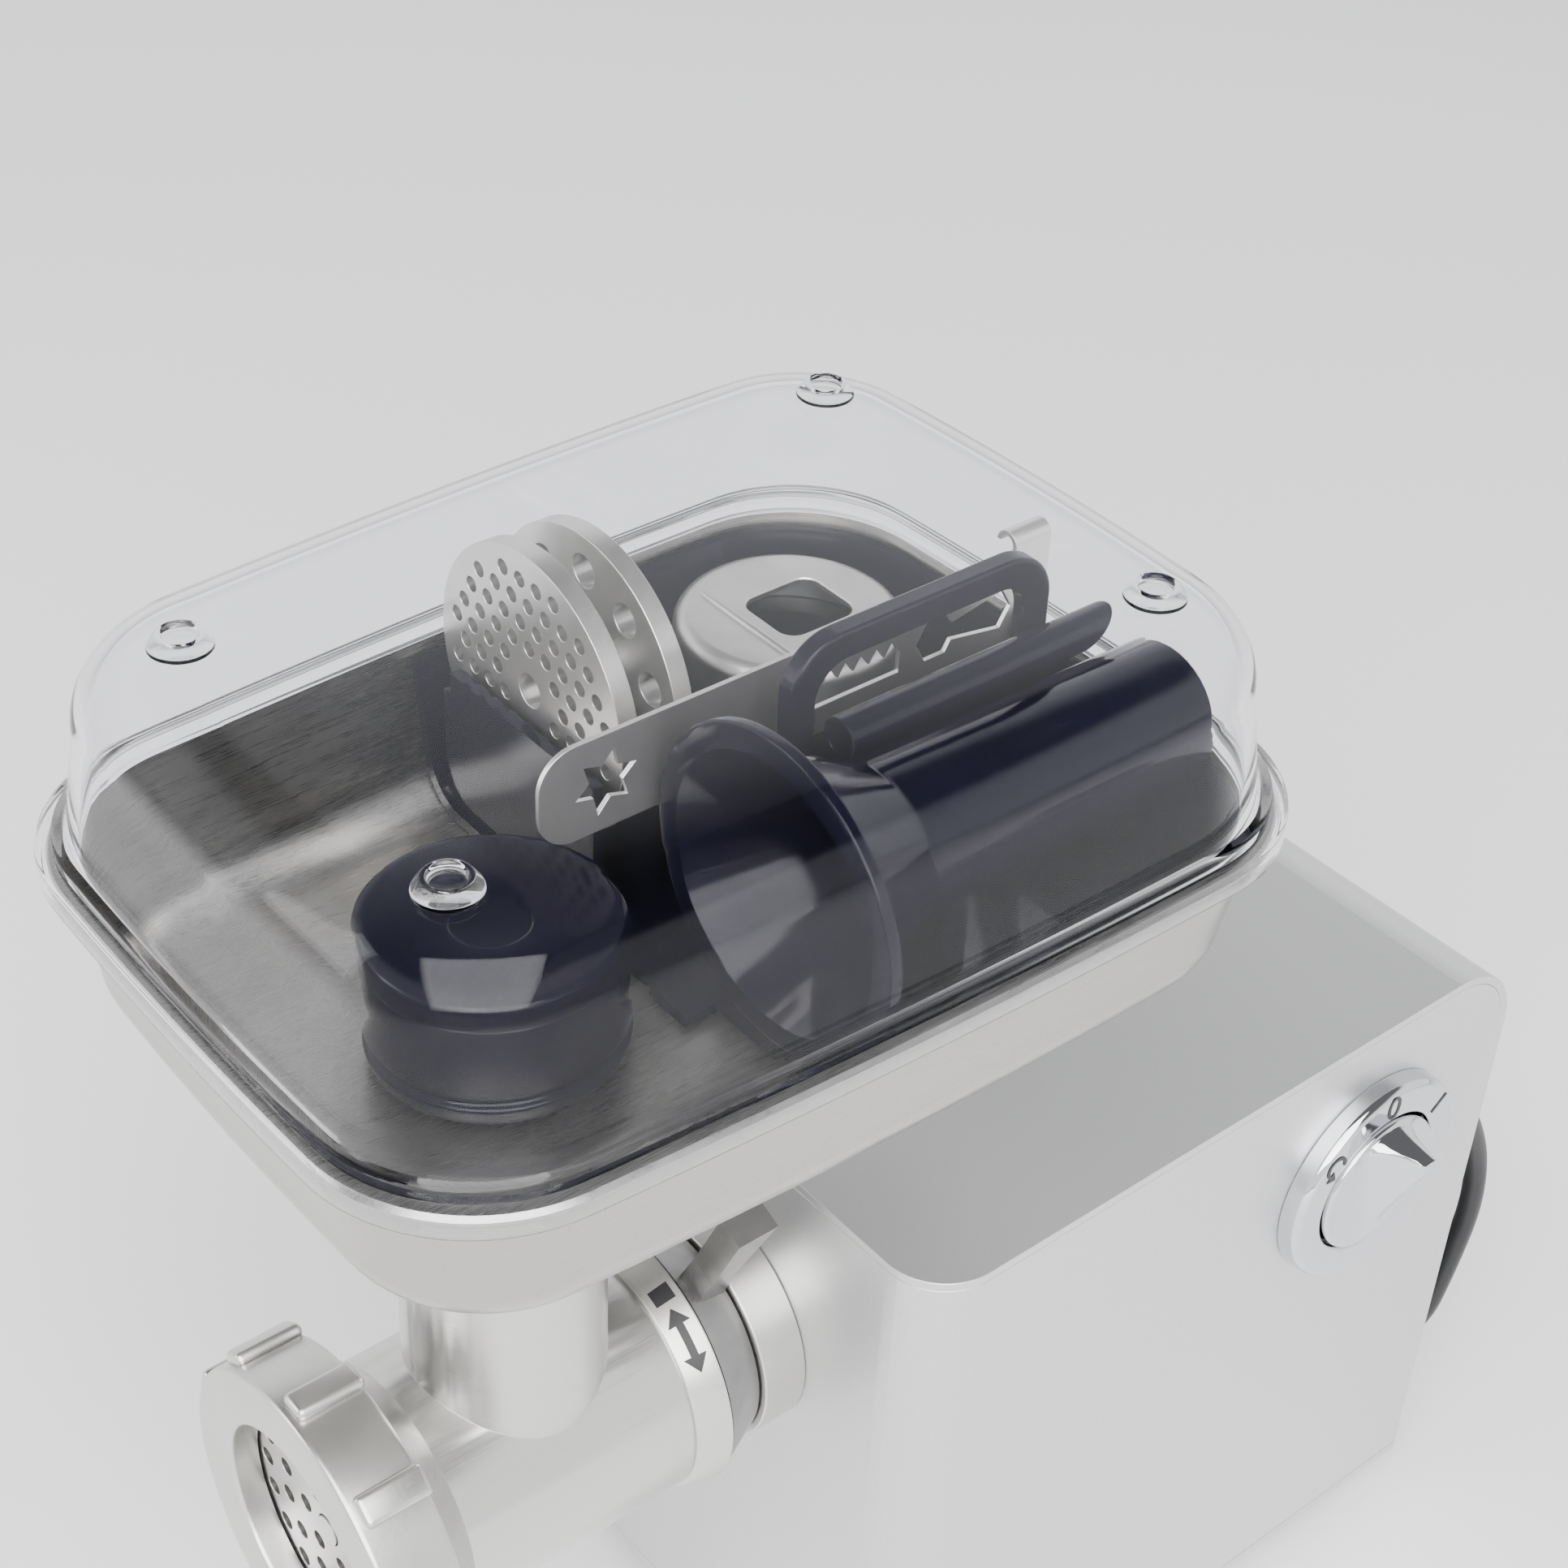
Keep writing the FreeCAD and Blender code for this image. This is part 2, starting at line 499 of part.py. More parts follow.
# ---- dial ----
BEZEL_FACE_Y = -HOUSING_HALF_WIDTH - 6.5
bezel = cone(BEZEL_R - 1.0, BEZEL_R, 6.5, V(DIAL_X, BEZEL_FACE_Y, DIAL_Z), Y_AXIS)
bezel = bezel.cut(cyl(KNOB_R + 0.6, 5.0, V(DIAL_X, BEZEL_FACE_Y, DIAL_Z), Y_AXIS))
parts["dial_bezel"] = bezel.cut(cyl(5.0, 10, V(DIAL_X, BEZEL_FACE_Y, DIAL_Z), Y_AXIS))
knob_front = -HOUSING_HALF_WIDTH - 7.5
knob = cyl(KNOB_R, 5.3, V(DIAL_X, knob_front, DIAL_Z), Y_AXIS)
grip_side = [V(DIAL_X - 5.0, knob_front, DIAL_Z + 19.5), V(DIAL_X - 5.0, KNOB_GRIP_Y, DIAL_Z + 17.0),
             V(DIAL_X - 5.0, KNOB_GRIP_Y + 2.0, DIAL_Z + 6.0), V(DIAL_X - 5.0, knob_front, DIAL_Z - 18.0)]
grip = prism(grip_side, V(10.0, 0, 0))
parts["dial_knob"] = knob.fuse(grip).removeSplitter()
parts["switch_spindle"] = cyl(4.0, 16.0, V(DIAL_X, knob_front + 5.3, DIAL_Z), Y_AXIS)

# ---- grinding head ----
HEAD_REAR, HEAD_FRONT = -14.0, -98.0
FLARE_R = 41.0
PLATE_X = HEAD_FRONT + 0.3
barrel = cyl(33.0, HEAD_REAR - HEAD_FRONT, on_axis(HEAD_FRONT))
flare = cyl(FLARE_R, 12.0, on_axis(HEAD_FRONT)).fuse(cone(FLARE_R, 33.0, 8.0, on_axis(HEAD_FRONT + 12.0)))
feed = cyl(FEED_OUTER_R, TRAY_BOTTOM - GAP - AXIS_Z, V(FEED_X, 0, AXIS_Z), Z_AXIS)
spigot = cyl(26.0, 34.0, on_axis(HEAD_REAR))
head = joined([barrel, flare, feed, spigot])
BORE_REAR = HEAD_REAR - 5.0
head = head.cut(cyl(BARREL_BORE_R, BORE_REAR - HEAD_FRONT + 1, on_axis(HEAD_FRONT - 1)))
head = head.cut(cyl(PLATE_R + 0.3, 15.3, on_axis(HEAD_FRONT - 1)))
feed_bore = cyl(FEED_INNER_R, TRAY_BOTTOM - AXIS_Z, V(FEED_X, 0, AXIS_Z), Z_AXIS)
head = head.cut(feed_bore)
head = head.cut(cyl(8.5, 20, on_axis(BORE_REAR - 1))).cut(cyl(14.0, 31, on_axis(HEAD_REAR + 6)))
key = block(PLATE_X, PLATE_X + PLATE_THICK, -2.3, 2.3, AXIS_Z - PLATE_R - 0.6, AXIS_Z - PLATE_R + 2.8)
parts["head_casting"] = head.fuse(key).removeSplitter()
marked = cone(33.8, 36.8, 9.0, on_axis(HEAD_REAR)).cut(cyl(26.0, 9.0, on_axis(HEAD_REAR)))
parts["marked_ring"] = marked
MEDIUM_PLATE_HOLES = ring_spots(((10.0, 6, 0), (19.0, 12, 15), (27.5, 18, 0)))
parts["medium_plate"] = perforated(PLATE_X, 0.0, AXIS_Z, 2.4, MEDIUM_PLATE_HOLES)

# ring nut in front
NUT_FRONT, NUT_REAR = HEAD_FRONT - 8.0, HEAD_FRONT + 11.5
nut = cyl(46.0, NUT_REAR - NUT_FRONT, on_axis(NUT_FRONT))
nut = nut.cut(cyl(FLARE_R + GAP, NUT_REAR - HEAD_FRONT + GAP, on_axis(HEAD_FRONT - GAP)))
nut = nut.cut(cyl(31.0, 20, on_axis(NUT_FRONT - 1)))
ribs = []
for k in range(10):
    rib = block(NUT_FRONT + 2, NUT_REAR, -4.0, 4.0, AXIS_Z + 44, AXIS_Z + 49)
    rib.rotate(on_axis(0), X_AXIS, 36.0 * k)
    ribs.append(rib)
parts["ring_nut"] = joined([nut] + ribs)

# auger, knife
AUGER_FRONT, AUGER_REAR = HEAD_FRONT + 13.0, BORE_REAR - 0.8
core = cone(11.0, 13.0, AUGER_REAR - AUGER_FRONT, on_axis(AUGER_FRONT))
FLIGHT_R = BARREL_BORE_R - 0.6
pitch = 24.0
helix = Part.makeHelix(pitch, AUGER_REAR - AUGER_FRONT - 5.0, 9.0)
profile = Part.makePolygon([V(8.0, 0, -2.4), V(FLIGHT_R, 0, -1.2), V(FLIGHT_R, 0, 1.2), V(8.0, 0, 2.4),
                            V(8.0, 0, -2.4)])
flight = Part.Wire(helix.Edges).makePipeShell([profile], True, True)
flight.rotate(V(), Y_AXIS, 90)
flight.translate(on_axis(AUGER_FRONT + 2.5))
tail = cyl(8.0, 14.0, on_axis(AUGER_REAR - 0.2)).fuse(hexagon(12.2, 22.0, on_axis(AUGER_REAR + 13.0)))
square_end = block(AUGER_FRONT - 7.3, AUGER_FRONT + 0.5, -5, 5, AXIS_Z - 5, AXIS_Z + 5)
pilot = cyl(3.9, 14.0, on_axis(AUGER_FRONT - 13.0))
parts["auger"] = joined([core, flight, tail, square_end, pilot])
KNIFE_X = PLATE_X + PLATE_THICK + 0.1
knife_boss = cyl(10.0, 7.0, on_axis(KNIFE_X))
arms = []
for k in range(4):
    arm = prism([V(KNIFE_X, -4, AXIS_Z + 5), V(KNIFE_X, 4, AXIS_Z + 5), V(KNIFE_X, 3, AXIS_Z + 31),
                 V(KNIFE_X, -3, AXIS_Z + 31)], V(3.5, 0, 0))
    arm.rotate(on_axis(0), X_AXIS, 90.0 * k)
    arms.append(arm)
knife = joined([knife_boss] + arms).cut(block(KNIFE_X - 1, KNIFE_X + 8, -5, 5, AXIS_Z - 5, AXIS_Z + 5))
parts["knife"] = knife

# lock ring with its lever
LOCK_X0, LOCK_X1 = HEAD_REAR + 9.0 + 0.5, HOUSING_FRONT - 13.0 - 0.5
lock = cone(36.0, 30.0, LOCK_X1 - LOCK_X0, on_axis(LOCK_X0)).cut(cyl(26.4, 40, on_axis(-10)))
lever_side = [V(LOCK_X0 + 1, -4, AXIS_Z + 29), V(LOCK_X1 - 1, -4, AXIS_Z + 29),
              V(LOCK_X1 - 2, -4, AXIS_Z + 44), V(LOCK_X1 + 3, -4, AXIS_Z + 66),
              V(LOCK_X0 + 4, -4, AXIS_Z + 66), V(LOCK_X0 + 3.5, -4, AXIS_Z + 44)]
lever = prism(lever_side, V(0, 8, 0))
lever.rotate(on_axis(0), X_AXIS, 24.0)
parts["lock_ring"] = joined([lock, lever])

# ---- tray ----
tray_outer = rounded_tub(TRAY_HALF_LENGTH, TRAY_HALF_WIDTH, PLAN_CORNER,
                         TRAY_RIM, TRAY_BOTTOM, TRAY_TAPER, 16.0)
tray_inner = rounded_tub(TRAY_HALF_LENGTH - TRAY_SHEET, TRAY_HALF_WIDTH - TRAY_SHEET,
                         PLAN_CORNER - TRAY_SHEET,
                         TRAY_RIM, TRAY_BOTTOM + TRAY_SHEET, TRAY_TAPER, 15.0)
tray = tray_outer.cut(tray_inner)
RIM_OUT = 2.2
rim_lip = plan_slab(TRAY_HALF_LENGTH + RIM_OUT, TRAY_HALF_WIDTH + RIM_OUT, PLAN_CORNER,
                    TRAY_RIM - 1.6, TRAY_RIM)
rim_lip = rim_lip.cut(plan_slab(TRAY_HALF_LENGTH - TRAY_SHEET, TRAY_HALF_WIDTH - TRAY_SHEET,
                                PLAN_CORNER - 1.2,
                                TRAY_RIM - 2, TRAY_RIM + 1))
THROAT_R = FEED_INNER_R - 0.5
throat = ring(THROAT_R, THROAT_R - 1.0, 20.0 + TRAY_SHEET, V(FEED_X, 0, TRAY_BOTTOM - 20.0), Z_AXIS)
tray = joined([tray, rim_lip, throat])
parts["tray"] = tray.cut(cyl(THROAT_R - 1.0, 40, V(FEED_X, 0, TRAY_BOTTOM - 25), Z_AXIS))

# ---- lid ----
LID_BOTTOM = TRAY_RIM + GAP
lid_outer = rounded_tub(LID_HALF_LENGTH, LID_HALF_WIDTH, PLAN_CORNER,
                        LID_BOTTOM, LID_TOP, LID_TAPER, LID_SHOULDER)
lid_inner = rounded_tub(LID_HALF_LENGTH - LID_WALL, LID_HALF_WIDTH - LID_WALL, PLAN_CORNER - LID_WALL,
                        LID_BOTTOM, LID_TOP - LID_WALL, LID_TAPER, LID_SHOULDER - 2.0)
flange_step = plan_slab(LID_HALF_LENGTH + 1.6, LID_HALF_WIDTH + 1.6, PLAN_CORNER,
                        LID_BOTTOM, LID_BOTTOM + 5.5)
flange = plan_slab(LID_HALF_LENGTH + LID_FLANGE, LID_HALF_WIDTH + LID_FLANGE, PLAN_CORNER + 2,
                   LID_BOTTOM - 3.5, LID_BOTTOM + 2.2)
flange = flange.cut(plan_slab(TRAY_HALF_LENGTH + RIM_OUT + GAP, TRAY_HALF_WIDTH + RIM_OUT + GAP,
                              PLAN_CORNER + GAP,
                              LID_BOTTOM - 4.5, LID_BOTTOM))
lid = joined([lid_outer, flange_step, flange]).cut(lid_inner)
bosses = []
for boss_x, boss_y in ((-BOSS_X, BOSS_Y_FRONT), (BOSS_X, BOSS_Y_REAR)):
    for side in (-1, 1):
        foot = V(boss_x, side * boss_y, LID_TOP - 0.5)
        stud = cone(6.8, 5.0, 2.9, foot, Z_AXIS)
        bosses.append(stud.cut(cyl(3.8, 3.0, foot + V(0, 0, 0.8), Z_AXIS)))
parts["clear_lid"] = joined([lid] + bosses)

# ---- pusher, standing in the feed tube ----
cap_base = RACK_FLOOR
cap = cone(PUSHER_CAP_R - 1.0, PUSHER_CAP_R, 6.0, V(FEED_X, 0, cap_base), Z_AXIS)
cap = cap.fuse(cyl(PUSHER_CAP_R - 2.2, 3.0, V(FEED_X, 0, cap_base + 6.0), Z_AXIS))
cap = cap.fuse(cyl(PUSHER_CAP_R, PUSHER_CAP_TOP - cap_base - 12.0, V(FEED_X, 0, cap_base + 9.0), Z_AXIS))
crown = cone(PUSHER_CAP_R, PUSHER_CAP_R - 2.5, 3.0, V(FEED_X, 0, PUSHER_CAP_TOP - 3.0), Z_AXIS)
cap = joined([cap, crown]).cut(cyl(PUSHER_SHAFT_R - 2.4, 24.0, V(FEED_X, 0, cap_base - 1), Z_AXIS))
parts["pusher_cap"] = cap
stem = ring(PUSHER_SHAFT_R, PUSHER_SHAFT_R - 2.4, cap_base - PUSHER_END_Z, V(FEED_X, 0, PUSHER_END_Z), Z_AXIS)
stem_floor = cyl(PUSHER_SHAFT_R, 3.0, V(FEED_X, 0, PUSHER_END_Z), Z_AXIS)
parts["pusher_stem"] = stem.fuse(stem_floor).removeSplitter()

# ---- accessory rack ----
PLATE_Y, PLATE_Z = 45.0, 331.0
FINE_X, COARSE_X = -5.0, 10.0
DISC_X, DISC_Y, DISC_R, DISC_TOP = 75.6, 50.6, 28.5, 319.0
DISC_BASE = DISC_TOP - 13.0
RACK_PLAY, RACK_WALL, RACK_WALL_TOP = 1.1, 2.2, 321.0
inside = rounded_tub(TRAY_HALF_LENGTH - TRAY_SHEET - RACK_PLAY, TRAY_HALF_WIDTH - TRAY_SHEET - RACK_PLAY,
                     PLAN_CORNER - 2.0, TRAY_RIM, TRAY_BOTTOM + TRAY_SHEET + 0.3, TRAY_TAPER, 14.0)
rack_hollow = rounded_tub(TRAY_HALF_LENGTH - TRAY_SHEET - RACK_PLAY - RACK_WALL,
                          TRAY_HALF_WIDTH - TRAY_SHEET - RACK_PLAY - RACK_WALL,
                          PLAN_CORNER - 4.0, TRAY_RIM, RACK_TOP, TRAY_TAPER, 12.0)
rack_shell = inside.cut(rack_hollow).common(block(-12.0, 130, -90, 90, RACK_FLOOR, RACK_WALL_TOP))
rack_shell = rack_shell.cut(block(-13, -3.0, -90, -22, RACK_FLOOR - 1, TRAY_RIM))
pocket_front = block(-10.0, -7.0, 14.0, 70.0, RACK_TOP, 324.0)
pocket_post = block(-10.0, -5.6, 70.0, 73.0, RACK_TOP, 318.0)
pocket_mid = block(2.0, 7.6, 14.0, 70.0, RACK_TOP, 318.0)
pocket_back = block(17.4, 20.4, 14.0, 70.0, RACK_TOP, 318.0)
pocket_floor = block(-10.0, 20.4, 28.0, 62.0, RACK_TOP, PLATE_Z - PLATE_R - GAP)
well = ring(DISC_R + 3.0, DISC_R + 0.6, 300.0 - RACK_TOP, V(DISC_X, DISC_Y, RACK_TOP), Z_AXIS)
well_floor = cyl(DISC_R + 1.0, DISC_BASE - GAP - RACK_TOP, V(DISC_X, DISC_Y, RACK_TOP), Z_AXIS)
well_floor = well_floor.cut(cyl(20.0, 40, V(DISC_X, DISC_Y, RACK_TOP + 2), Z_AXIS))
tube_cradles = []
for x, seat_r in ((32.0, 18.1), (95.0, 16.7)):
    cradle = block(x, x + 3, TUBE_Y - 14, TUBE_Y + 14, RACK_TOP, TUBE_Z - 4)
    tube_cradles.append(cradle.cut(cyl(seat_r, 5, V(x - 1, TUBE_Y, TUBE_Z))))
flange_seat = block(-3.0, -1.0, TUBE_Y - 24, TUBE_Y + 24, RACK_TOP, RACK_TOP + 3)
strip_ways = []
for x in (14.0, 97.0):
    way = block(x, x + 5, -8.0, 0.0, RACK_TOP, 338.0)
    strip_ways.append(way.cut(block(x - 1, x + 6, -4.6 - GAP, -3.4 + GAP, 330.0 - GAP, 340)))
rack = joined([rack_shell, pocket_front, pocket_post, pocket_mid, pocket_back, pocket_floor,
               well, well_floor, flange_seat] + tube_cradles + strip_ways)
rack = rack.cut(cyl(DISC_R + 0.5, 40, V(DISC_X, DISC_Y, DISC_BASE - GAP), Z_AXIS))
parts["accessory_rack"] = rack.common(inside.fuse(block(-100, 100, -70, 70, TRAY_RIM - 1, LID_TOP)))

ARCH_Y0, ARCH_Y1, ARCH_TOP = -19.5, -14.5, 367.0
ARCH_X0, ARCH_X1 = 17.0, 92.0


def arch_outline(inset, bottom):
    x0, x1, z1 = ARCH_X0 + inset, ARCH_X1 - inset, ARCH_TOP - inset
    slab = block(x0, x1, ARCH_Y0, ARCH_Y1, bottom, z1)
    upper = [e for e in slab.Edges if abs(e.Vertexes[0].Z - z1) < 1e-6 and abs(e.Vertexes[1].Z - z1) < 1e-6
             and abs(e.Vertexes[0].Y - e.Vertexes[1].Y) > 1]
    return slab.makeFillet(13.0 - inset * 0.6, upper)


parts["rack_arch"] = arch_outline(0, RACK_TOP).cut(arch_outline(7.0, RACK_TOP - 1))

# ---- stored accessories ----
parts["fine_plate"] = perforated(FINE_X, PLATE_Y, PLATE_Z, 1.9, hex_spots(6.4, 31.0, 7.0))
COARSE_HOLES = ring_spots(((13.5, 5, 0), (26.0, 10, 18)))
parts["coarse_plate"] = perforated(COARSE_X, PLATE_Y, PLATE_Z, 4.0, COARSE_HOLES)

disc_cap = cyl(DISC_R, DISC_TOP - DISC_BASE, V(DISC_X, DISC_Y, DISC_BASE), Z_AXIS)
top_edge = [e for e in disc_cap.Edges if abs(e.BoundBox.ZMin - DISC_TOP) < 1e-6]
disc_cap = disc_cap.makeFillet(4.0, top_edge)
disc_cap = disc_cap.cut(cyl(DISC_R - 1.5, DISC_TOP - DISC_BASE - 1.5, V(DISC_X, DISC_Y, DISC_BASE), Z_AXIS))
window = block(DISC_X - 8, DISC_X + 14, DISC_Y - 10, DISC_Y + 10, DISC_TOP - 3, DISC_TOP + 3)
window = window.makeFillet(4.5, [e for e in window.Edges if abs(e.Vertexes[0].Z - e.Vertexes[1].Z) > 1])
rib = cyl(1.4, 40, V(DISC_X - 12.5, DISC_Y - 20, DISC_TOP - 0.2), Y_AXIS)
rib = rib.common(block(-200, 200, -200, 200, DISC_TOP - 1.2, DISC_TOP + 2))
parts["cookie_disc"] = joined([disc_cap.cut(window), rib])

STRIP_Y0, STRIP_Y1 = -4.6, -3.4
STRIP_X0, STRIP_X1, STRIP_Z0, STRIP_Z1 = -37.0, 106.0, 330.0, 354.0
TAB_TOP, HOOK_R = 357.0, 3.2
strip = block(STRIP_X0, STRIP_X1, STRIP_Y0, STRIP_Y1, STRIP_Z0, STRIP_Z1)
left_ends = [e for e in strip.Edges if abs(e.Vertexes[0].X - STRIP_X0) < 1e-6
             and abs(e.Vertexes[1].X - STRIP_X0) < 1e-6
             and abs(e.Vertexes[0].Y - e.Vertexes[1].Y) > 0.5]
strip = strip.makeFillet(9.0, left_ends)


def strip_cut(points):
    return prism([V(x, STRIP_Y0 - 1, z) for x, z in points], V(0, 4, 0))


STAR_X, STRIP_MID = -20.0, 342.0
star = []
for k in range(12):
    radius = 8.0 if k % 2 == 0 else 4.4
    angle = math.radians(30 * k + 15)
    star.append((STAR_X + radius * math.cos(angle), STRIP_MID + radius * math.sin(angle)))
zig = [(34.0, STRIP_MID - 5)]
TEETH_ALONG = 6
for k in range(TEETH_ALONG):
    zig += [(34.0 + 4.5 * k, STRIP_MID + 0.5), (36.2 + 4.5 * k, STRIP_MID + 4.0)]
zig += [(34.0 + 4.5 * TEETH_ALONG, STRIP_MID + 0.5), (34.0 + 4.5 * TEETH_ALONG, STRIP_MID - 5)]
hexagonal = [(72.0 + 6.0 * math.cos(math.radians(60 * k)), STRIP_MID + 6.0 * math.sin(math.radians(60 * k)))
             for k in range(6)]
wedge = [(76.0, STRIP_MID - 2.2), (92.0, STRIP_MID - 5), (95.0, STRIP_MID), (92.0, STRIP_MID + 5),
         (76.0, STRIP_MID + 2.2)]
strip = strip.cut(Part.makeCompound([strip_cut(star), strip_cut(zig)]))
strip = strip.cut(strip_cut(hexagonal)).cut(strip_cut(wedge))
tab = block(STRIP_X1 - 11.0, STRIP_X1, STRIP_Y0, STRIP_Y1, STRIP_Z1 - 0.01, TAB_TOP)
hook = ring(HOOK_R, HOOK_R - 1.2, 11.0, V(STRIP_X1 - 11.0, STRIP_Y0 + HOOK_R, TAB_TOP), X_AXIS)
hook = hook.common(block(STRIP_X1 - 11.0, STRIP_X1, STRIP_Y0 - 1, STRIP_Y1 + 8, TAB_TOP, TAB_TOP + 9))
parts["cookie_strip"] = joined([strip, tab, hook])

# large stuffing tube: flange, funnel and a slightly tapered spout
FLANGE_R, FLANGE_X, TUBE_END = 37.5, -8.0, 107.0
tube_base = V(FLANGE_X, TUBE_Y, TUBE_Z)
flange_disc = cyl(FLANGE_R, 3.0, tube_base)
funnel = cone(31.0, 18.0, 26.0, tube_base + V(3.0, 0, 0))
spout = cone(18.0, 16.0, TUBE_END - FLANGE_X - 29.0, tube_base + V(29.0, 0, 0))
solid_tube = joined([flange_disc, funnel, spout])
hollow = joined([cone(31.5, 16.2, 27.5, tube_base),
                 cone(16.2, 14.2, TUBE_END - FLANGE_X - 27.5, tube_base + V(27.5, 0, 0))])
parts["large_stuffing_tube"] = solid_tube.cut(hollow)

SLIM_Y, SLIM_Z, SLIM_X0, SLIM_X1 = -24.9, 345.0, 26.0, 106.0
slim = cone(5.1, 4.6, SLIM_X1 - SLIM_X0, V(SLIM_X0, SLIM_Y, SLIM_Z))
slim_bore = cone(3.9, 3.5, SLIM_X1 - SLIM_X0, V(SLIM_X0, SLIM_Y, SLIM_Z))
oblique = prism([V(SLIM_X1 - 14, SLIM_Y - 9, SLIM_Z - 6), V(SLIM_X1 + 1, SLIM_Y - 9, SLIM_Z - 6),
                 V(SLIM_X1 + 1, SLIM_Y - 9, SLIM_Z + 6)], V(0, 18, 0))
parts["slim_stuffing_tube"] = slim.cut(slim_bore).cut(oblique)

# ---- mains cord ----
RELIEF_LENGTH = 24.0
gland_flange = cyl(10.0, 3.0, V(HOUSING_REAR, GLAND_Y, GLAND_Z))
relief_start = GLAND_BASE + V(2.0, 0, 0)
relief = cone(7.0, 4.6, RELIEF_LENGTH, relief_start, GLAND_DIR)
gland_neck = cyl(6.8, 6.0, V(HOUSING_REAR - 6.0, GLAND_Y, GLAND_Z))
gland = joined([gland_flange, relief, gland_neck])
CORD_START = relief_start + GLAND_DIR * RELIEF_LENGTH
parts["cord_gland"] = gland


def bent_tube(points, radius):
    """Straight runs joined by tangent arcs, swept with a round section; prints each radius."""
    edges = []
    here = points[0]
    for before, corner, after in zip(points, points[1:], points[2:]):
        run_in, run_out = (corner - before), (after - corner)
        turn = run_in.getAngle(run_out)
        shorter = min(run_in.Length, run_out.Length)
        cut_back = 0.45 * shorter
        bend = cut_back / math.tan(turn / 2)
        print("bend radius %.1f mm, turn %.0f degrees, runs %.0f and %.0f mm"
              % (bend, math.degrees(turn), run_in.Length, run_out.Length))
        run_in.normalize()
        run_out.normalize()
        start = corner - run_in * cut_back
        end = corner + run_out * cut_back
        inward = (run_out - run_in)
        inward.normalize()
        centre = corner + inward * (bend / math.cos(turn / 2))
        middle = centre - inward * bend
        edges.append(Part.LineSegment(here, start).toShape())
        edges.append(Part.Arc(start, middle, end).toShape())
        here = end
    edges.append(Part.LineSegment(here, points[-1]).toShape())
    path = Part.Wire(edges)
    tangent = points[1] - points[0]
    section = Part.Wire(Part.Circle(points[0], tangent, radius).toShape())
    tube = path.makePipeShell([section], True, False)
    print("tube length %.1f mm, volume over section times length %.4f"
          % (path.Length, tube.Volume / (math.pi * radius ** 2 * path.Length)))
    return tube


lay = CORD_R + 0.1
COIL_TURN_R = (COIL_MEAN_R + CORD_R, COIL_MEAN_R - CORD_R)     # outer and inner turns of each layer
COIL_LAYERS = 2
coil_side_x = COIL_X - COIL_TURN_R[0]
hang = [
    CORD_START,
    V(269.0, GLAND_Y, 111.0),
    V(273.5, GLAND_Y - 1.0, 84.0),
    V(270.0, GLAND_Y, 58.0),
    V(265.5, -54.0, 31.2),
    V(263.5, -41.0, 13.6),
    V(262.0, -21.5, lay),
    V(259.0, 4.0, lay),
    V(coil_side_x, 30.0, lay),
]
parts["cord_hanging"] = bent_tube(hang, CORD_R)
COIL_IN, COIL_OUT = COIL_MEAN_R - 2 * CORD_R, COIL_MEAN_R + 2 * CORD_R
parts["cord_coil"] = ring(COIL_OUT, COIL_IN, COIL_LAYERS * 2 * CORD_R, V(COIL_X, COIL_Y, 0), Z_AXIS)
PLUG_Y, PLUG_HALF_WIDTH, PLUG_HALF_THICK = 97.0, 17.5, 8.0
lead_out = [
    V(coil_side_x, 63.0, 3 * CORD_R),
    V(coil_side_x - 0.8, 80.0, 3 * CORD_R - 0.8),
    V(coil_side_x, PLUG_Y, PLUG_HALF_THICK + 0.1),
]
parts["cord_lead"] = bent_tube(lead_out, CORD_R)
plug_base = V(coil_side_x, PLUG_Y, PLUG_HALF_THICK + 0.1)
plug_relief = cone(4.6, 7.0, 22.0, plug_base, Y_AXIS)
plug_body = block(coil_side_x - PLUG_HALF_WIDTH, coil_side_x + PLUG_HALF_WIDTH, PLUG_Y + 20.0, PLUG_Y + 55.0,
                  0.1, 2 * PLUG_HALF_THICK + 0.1)
plug_body = plug_body.makeFillet(6.0, [e for e in plug_body.Edges if abs(e.BoundBox.YLength - 35.0) < 0.01])
parts["mains_plug"] = plug_relief.fuse(plug_body).removeSplitter()
parts["plug_pins"] = Part.makeCompound([
    cyl(2.4, 19.0, V(coil_side_x + dx, PLUG_Y + 55.0, PLUG_HALF_THICK + 0.1), Y_AXIS) for dx in (-9.5, 9.5)])

# the widest points are the lid's flange, the housing's rear face and the knob's grip
lid_box = parts["clear_lid"].BoundBox
FRAME_SHIFT_X = (lid_box.XMin + HOUSING_REAR) / 2
FRAME_SHIFT_Y = (KNOB_GRIP_Y + lid_box.YMax) / 2

os.makedirs("parts", exist_ok=True)
for name, shape in parts.items():
    shape.translate(V(-FRAME_SHIFT_X, -FRAME_SHIFT_Y, 0))
    if not shape.isValid():
        print("invalid", name)
    print("%-24s solids %2d  volume %10.1f" % (name, len(shape.Solids), shape.Volume))
    shape.exportStep("parts/" + name + ".step")
print("nodes", len(parts), "shift", round(FRAME_SHIFT_X, 3), round(FRAME_SHIFT_Y, 3))
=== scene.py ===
# %% [markdown]
# An electric meat grinder: a steel feed tray under a clear lid, with the cutting plates, the cookie
# set, the stuffing tubes and the pusher put away inside it. The engineering model gives every size,
# so this lesson never measures anything anew: it loads that model as a frame, replaces the pieces
# whose surface needs more care, and gives each one the finish it was made with.

# %% Load the frame
import json
import math

import bmesh
import bpy
from mathutils import Matrix, Vector


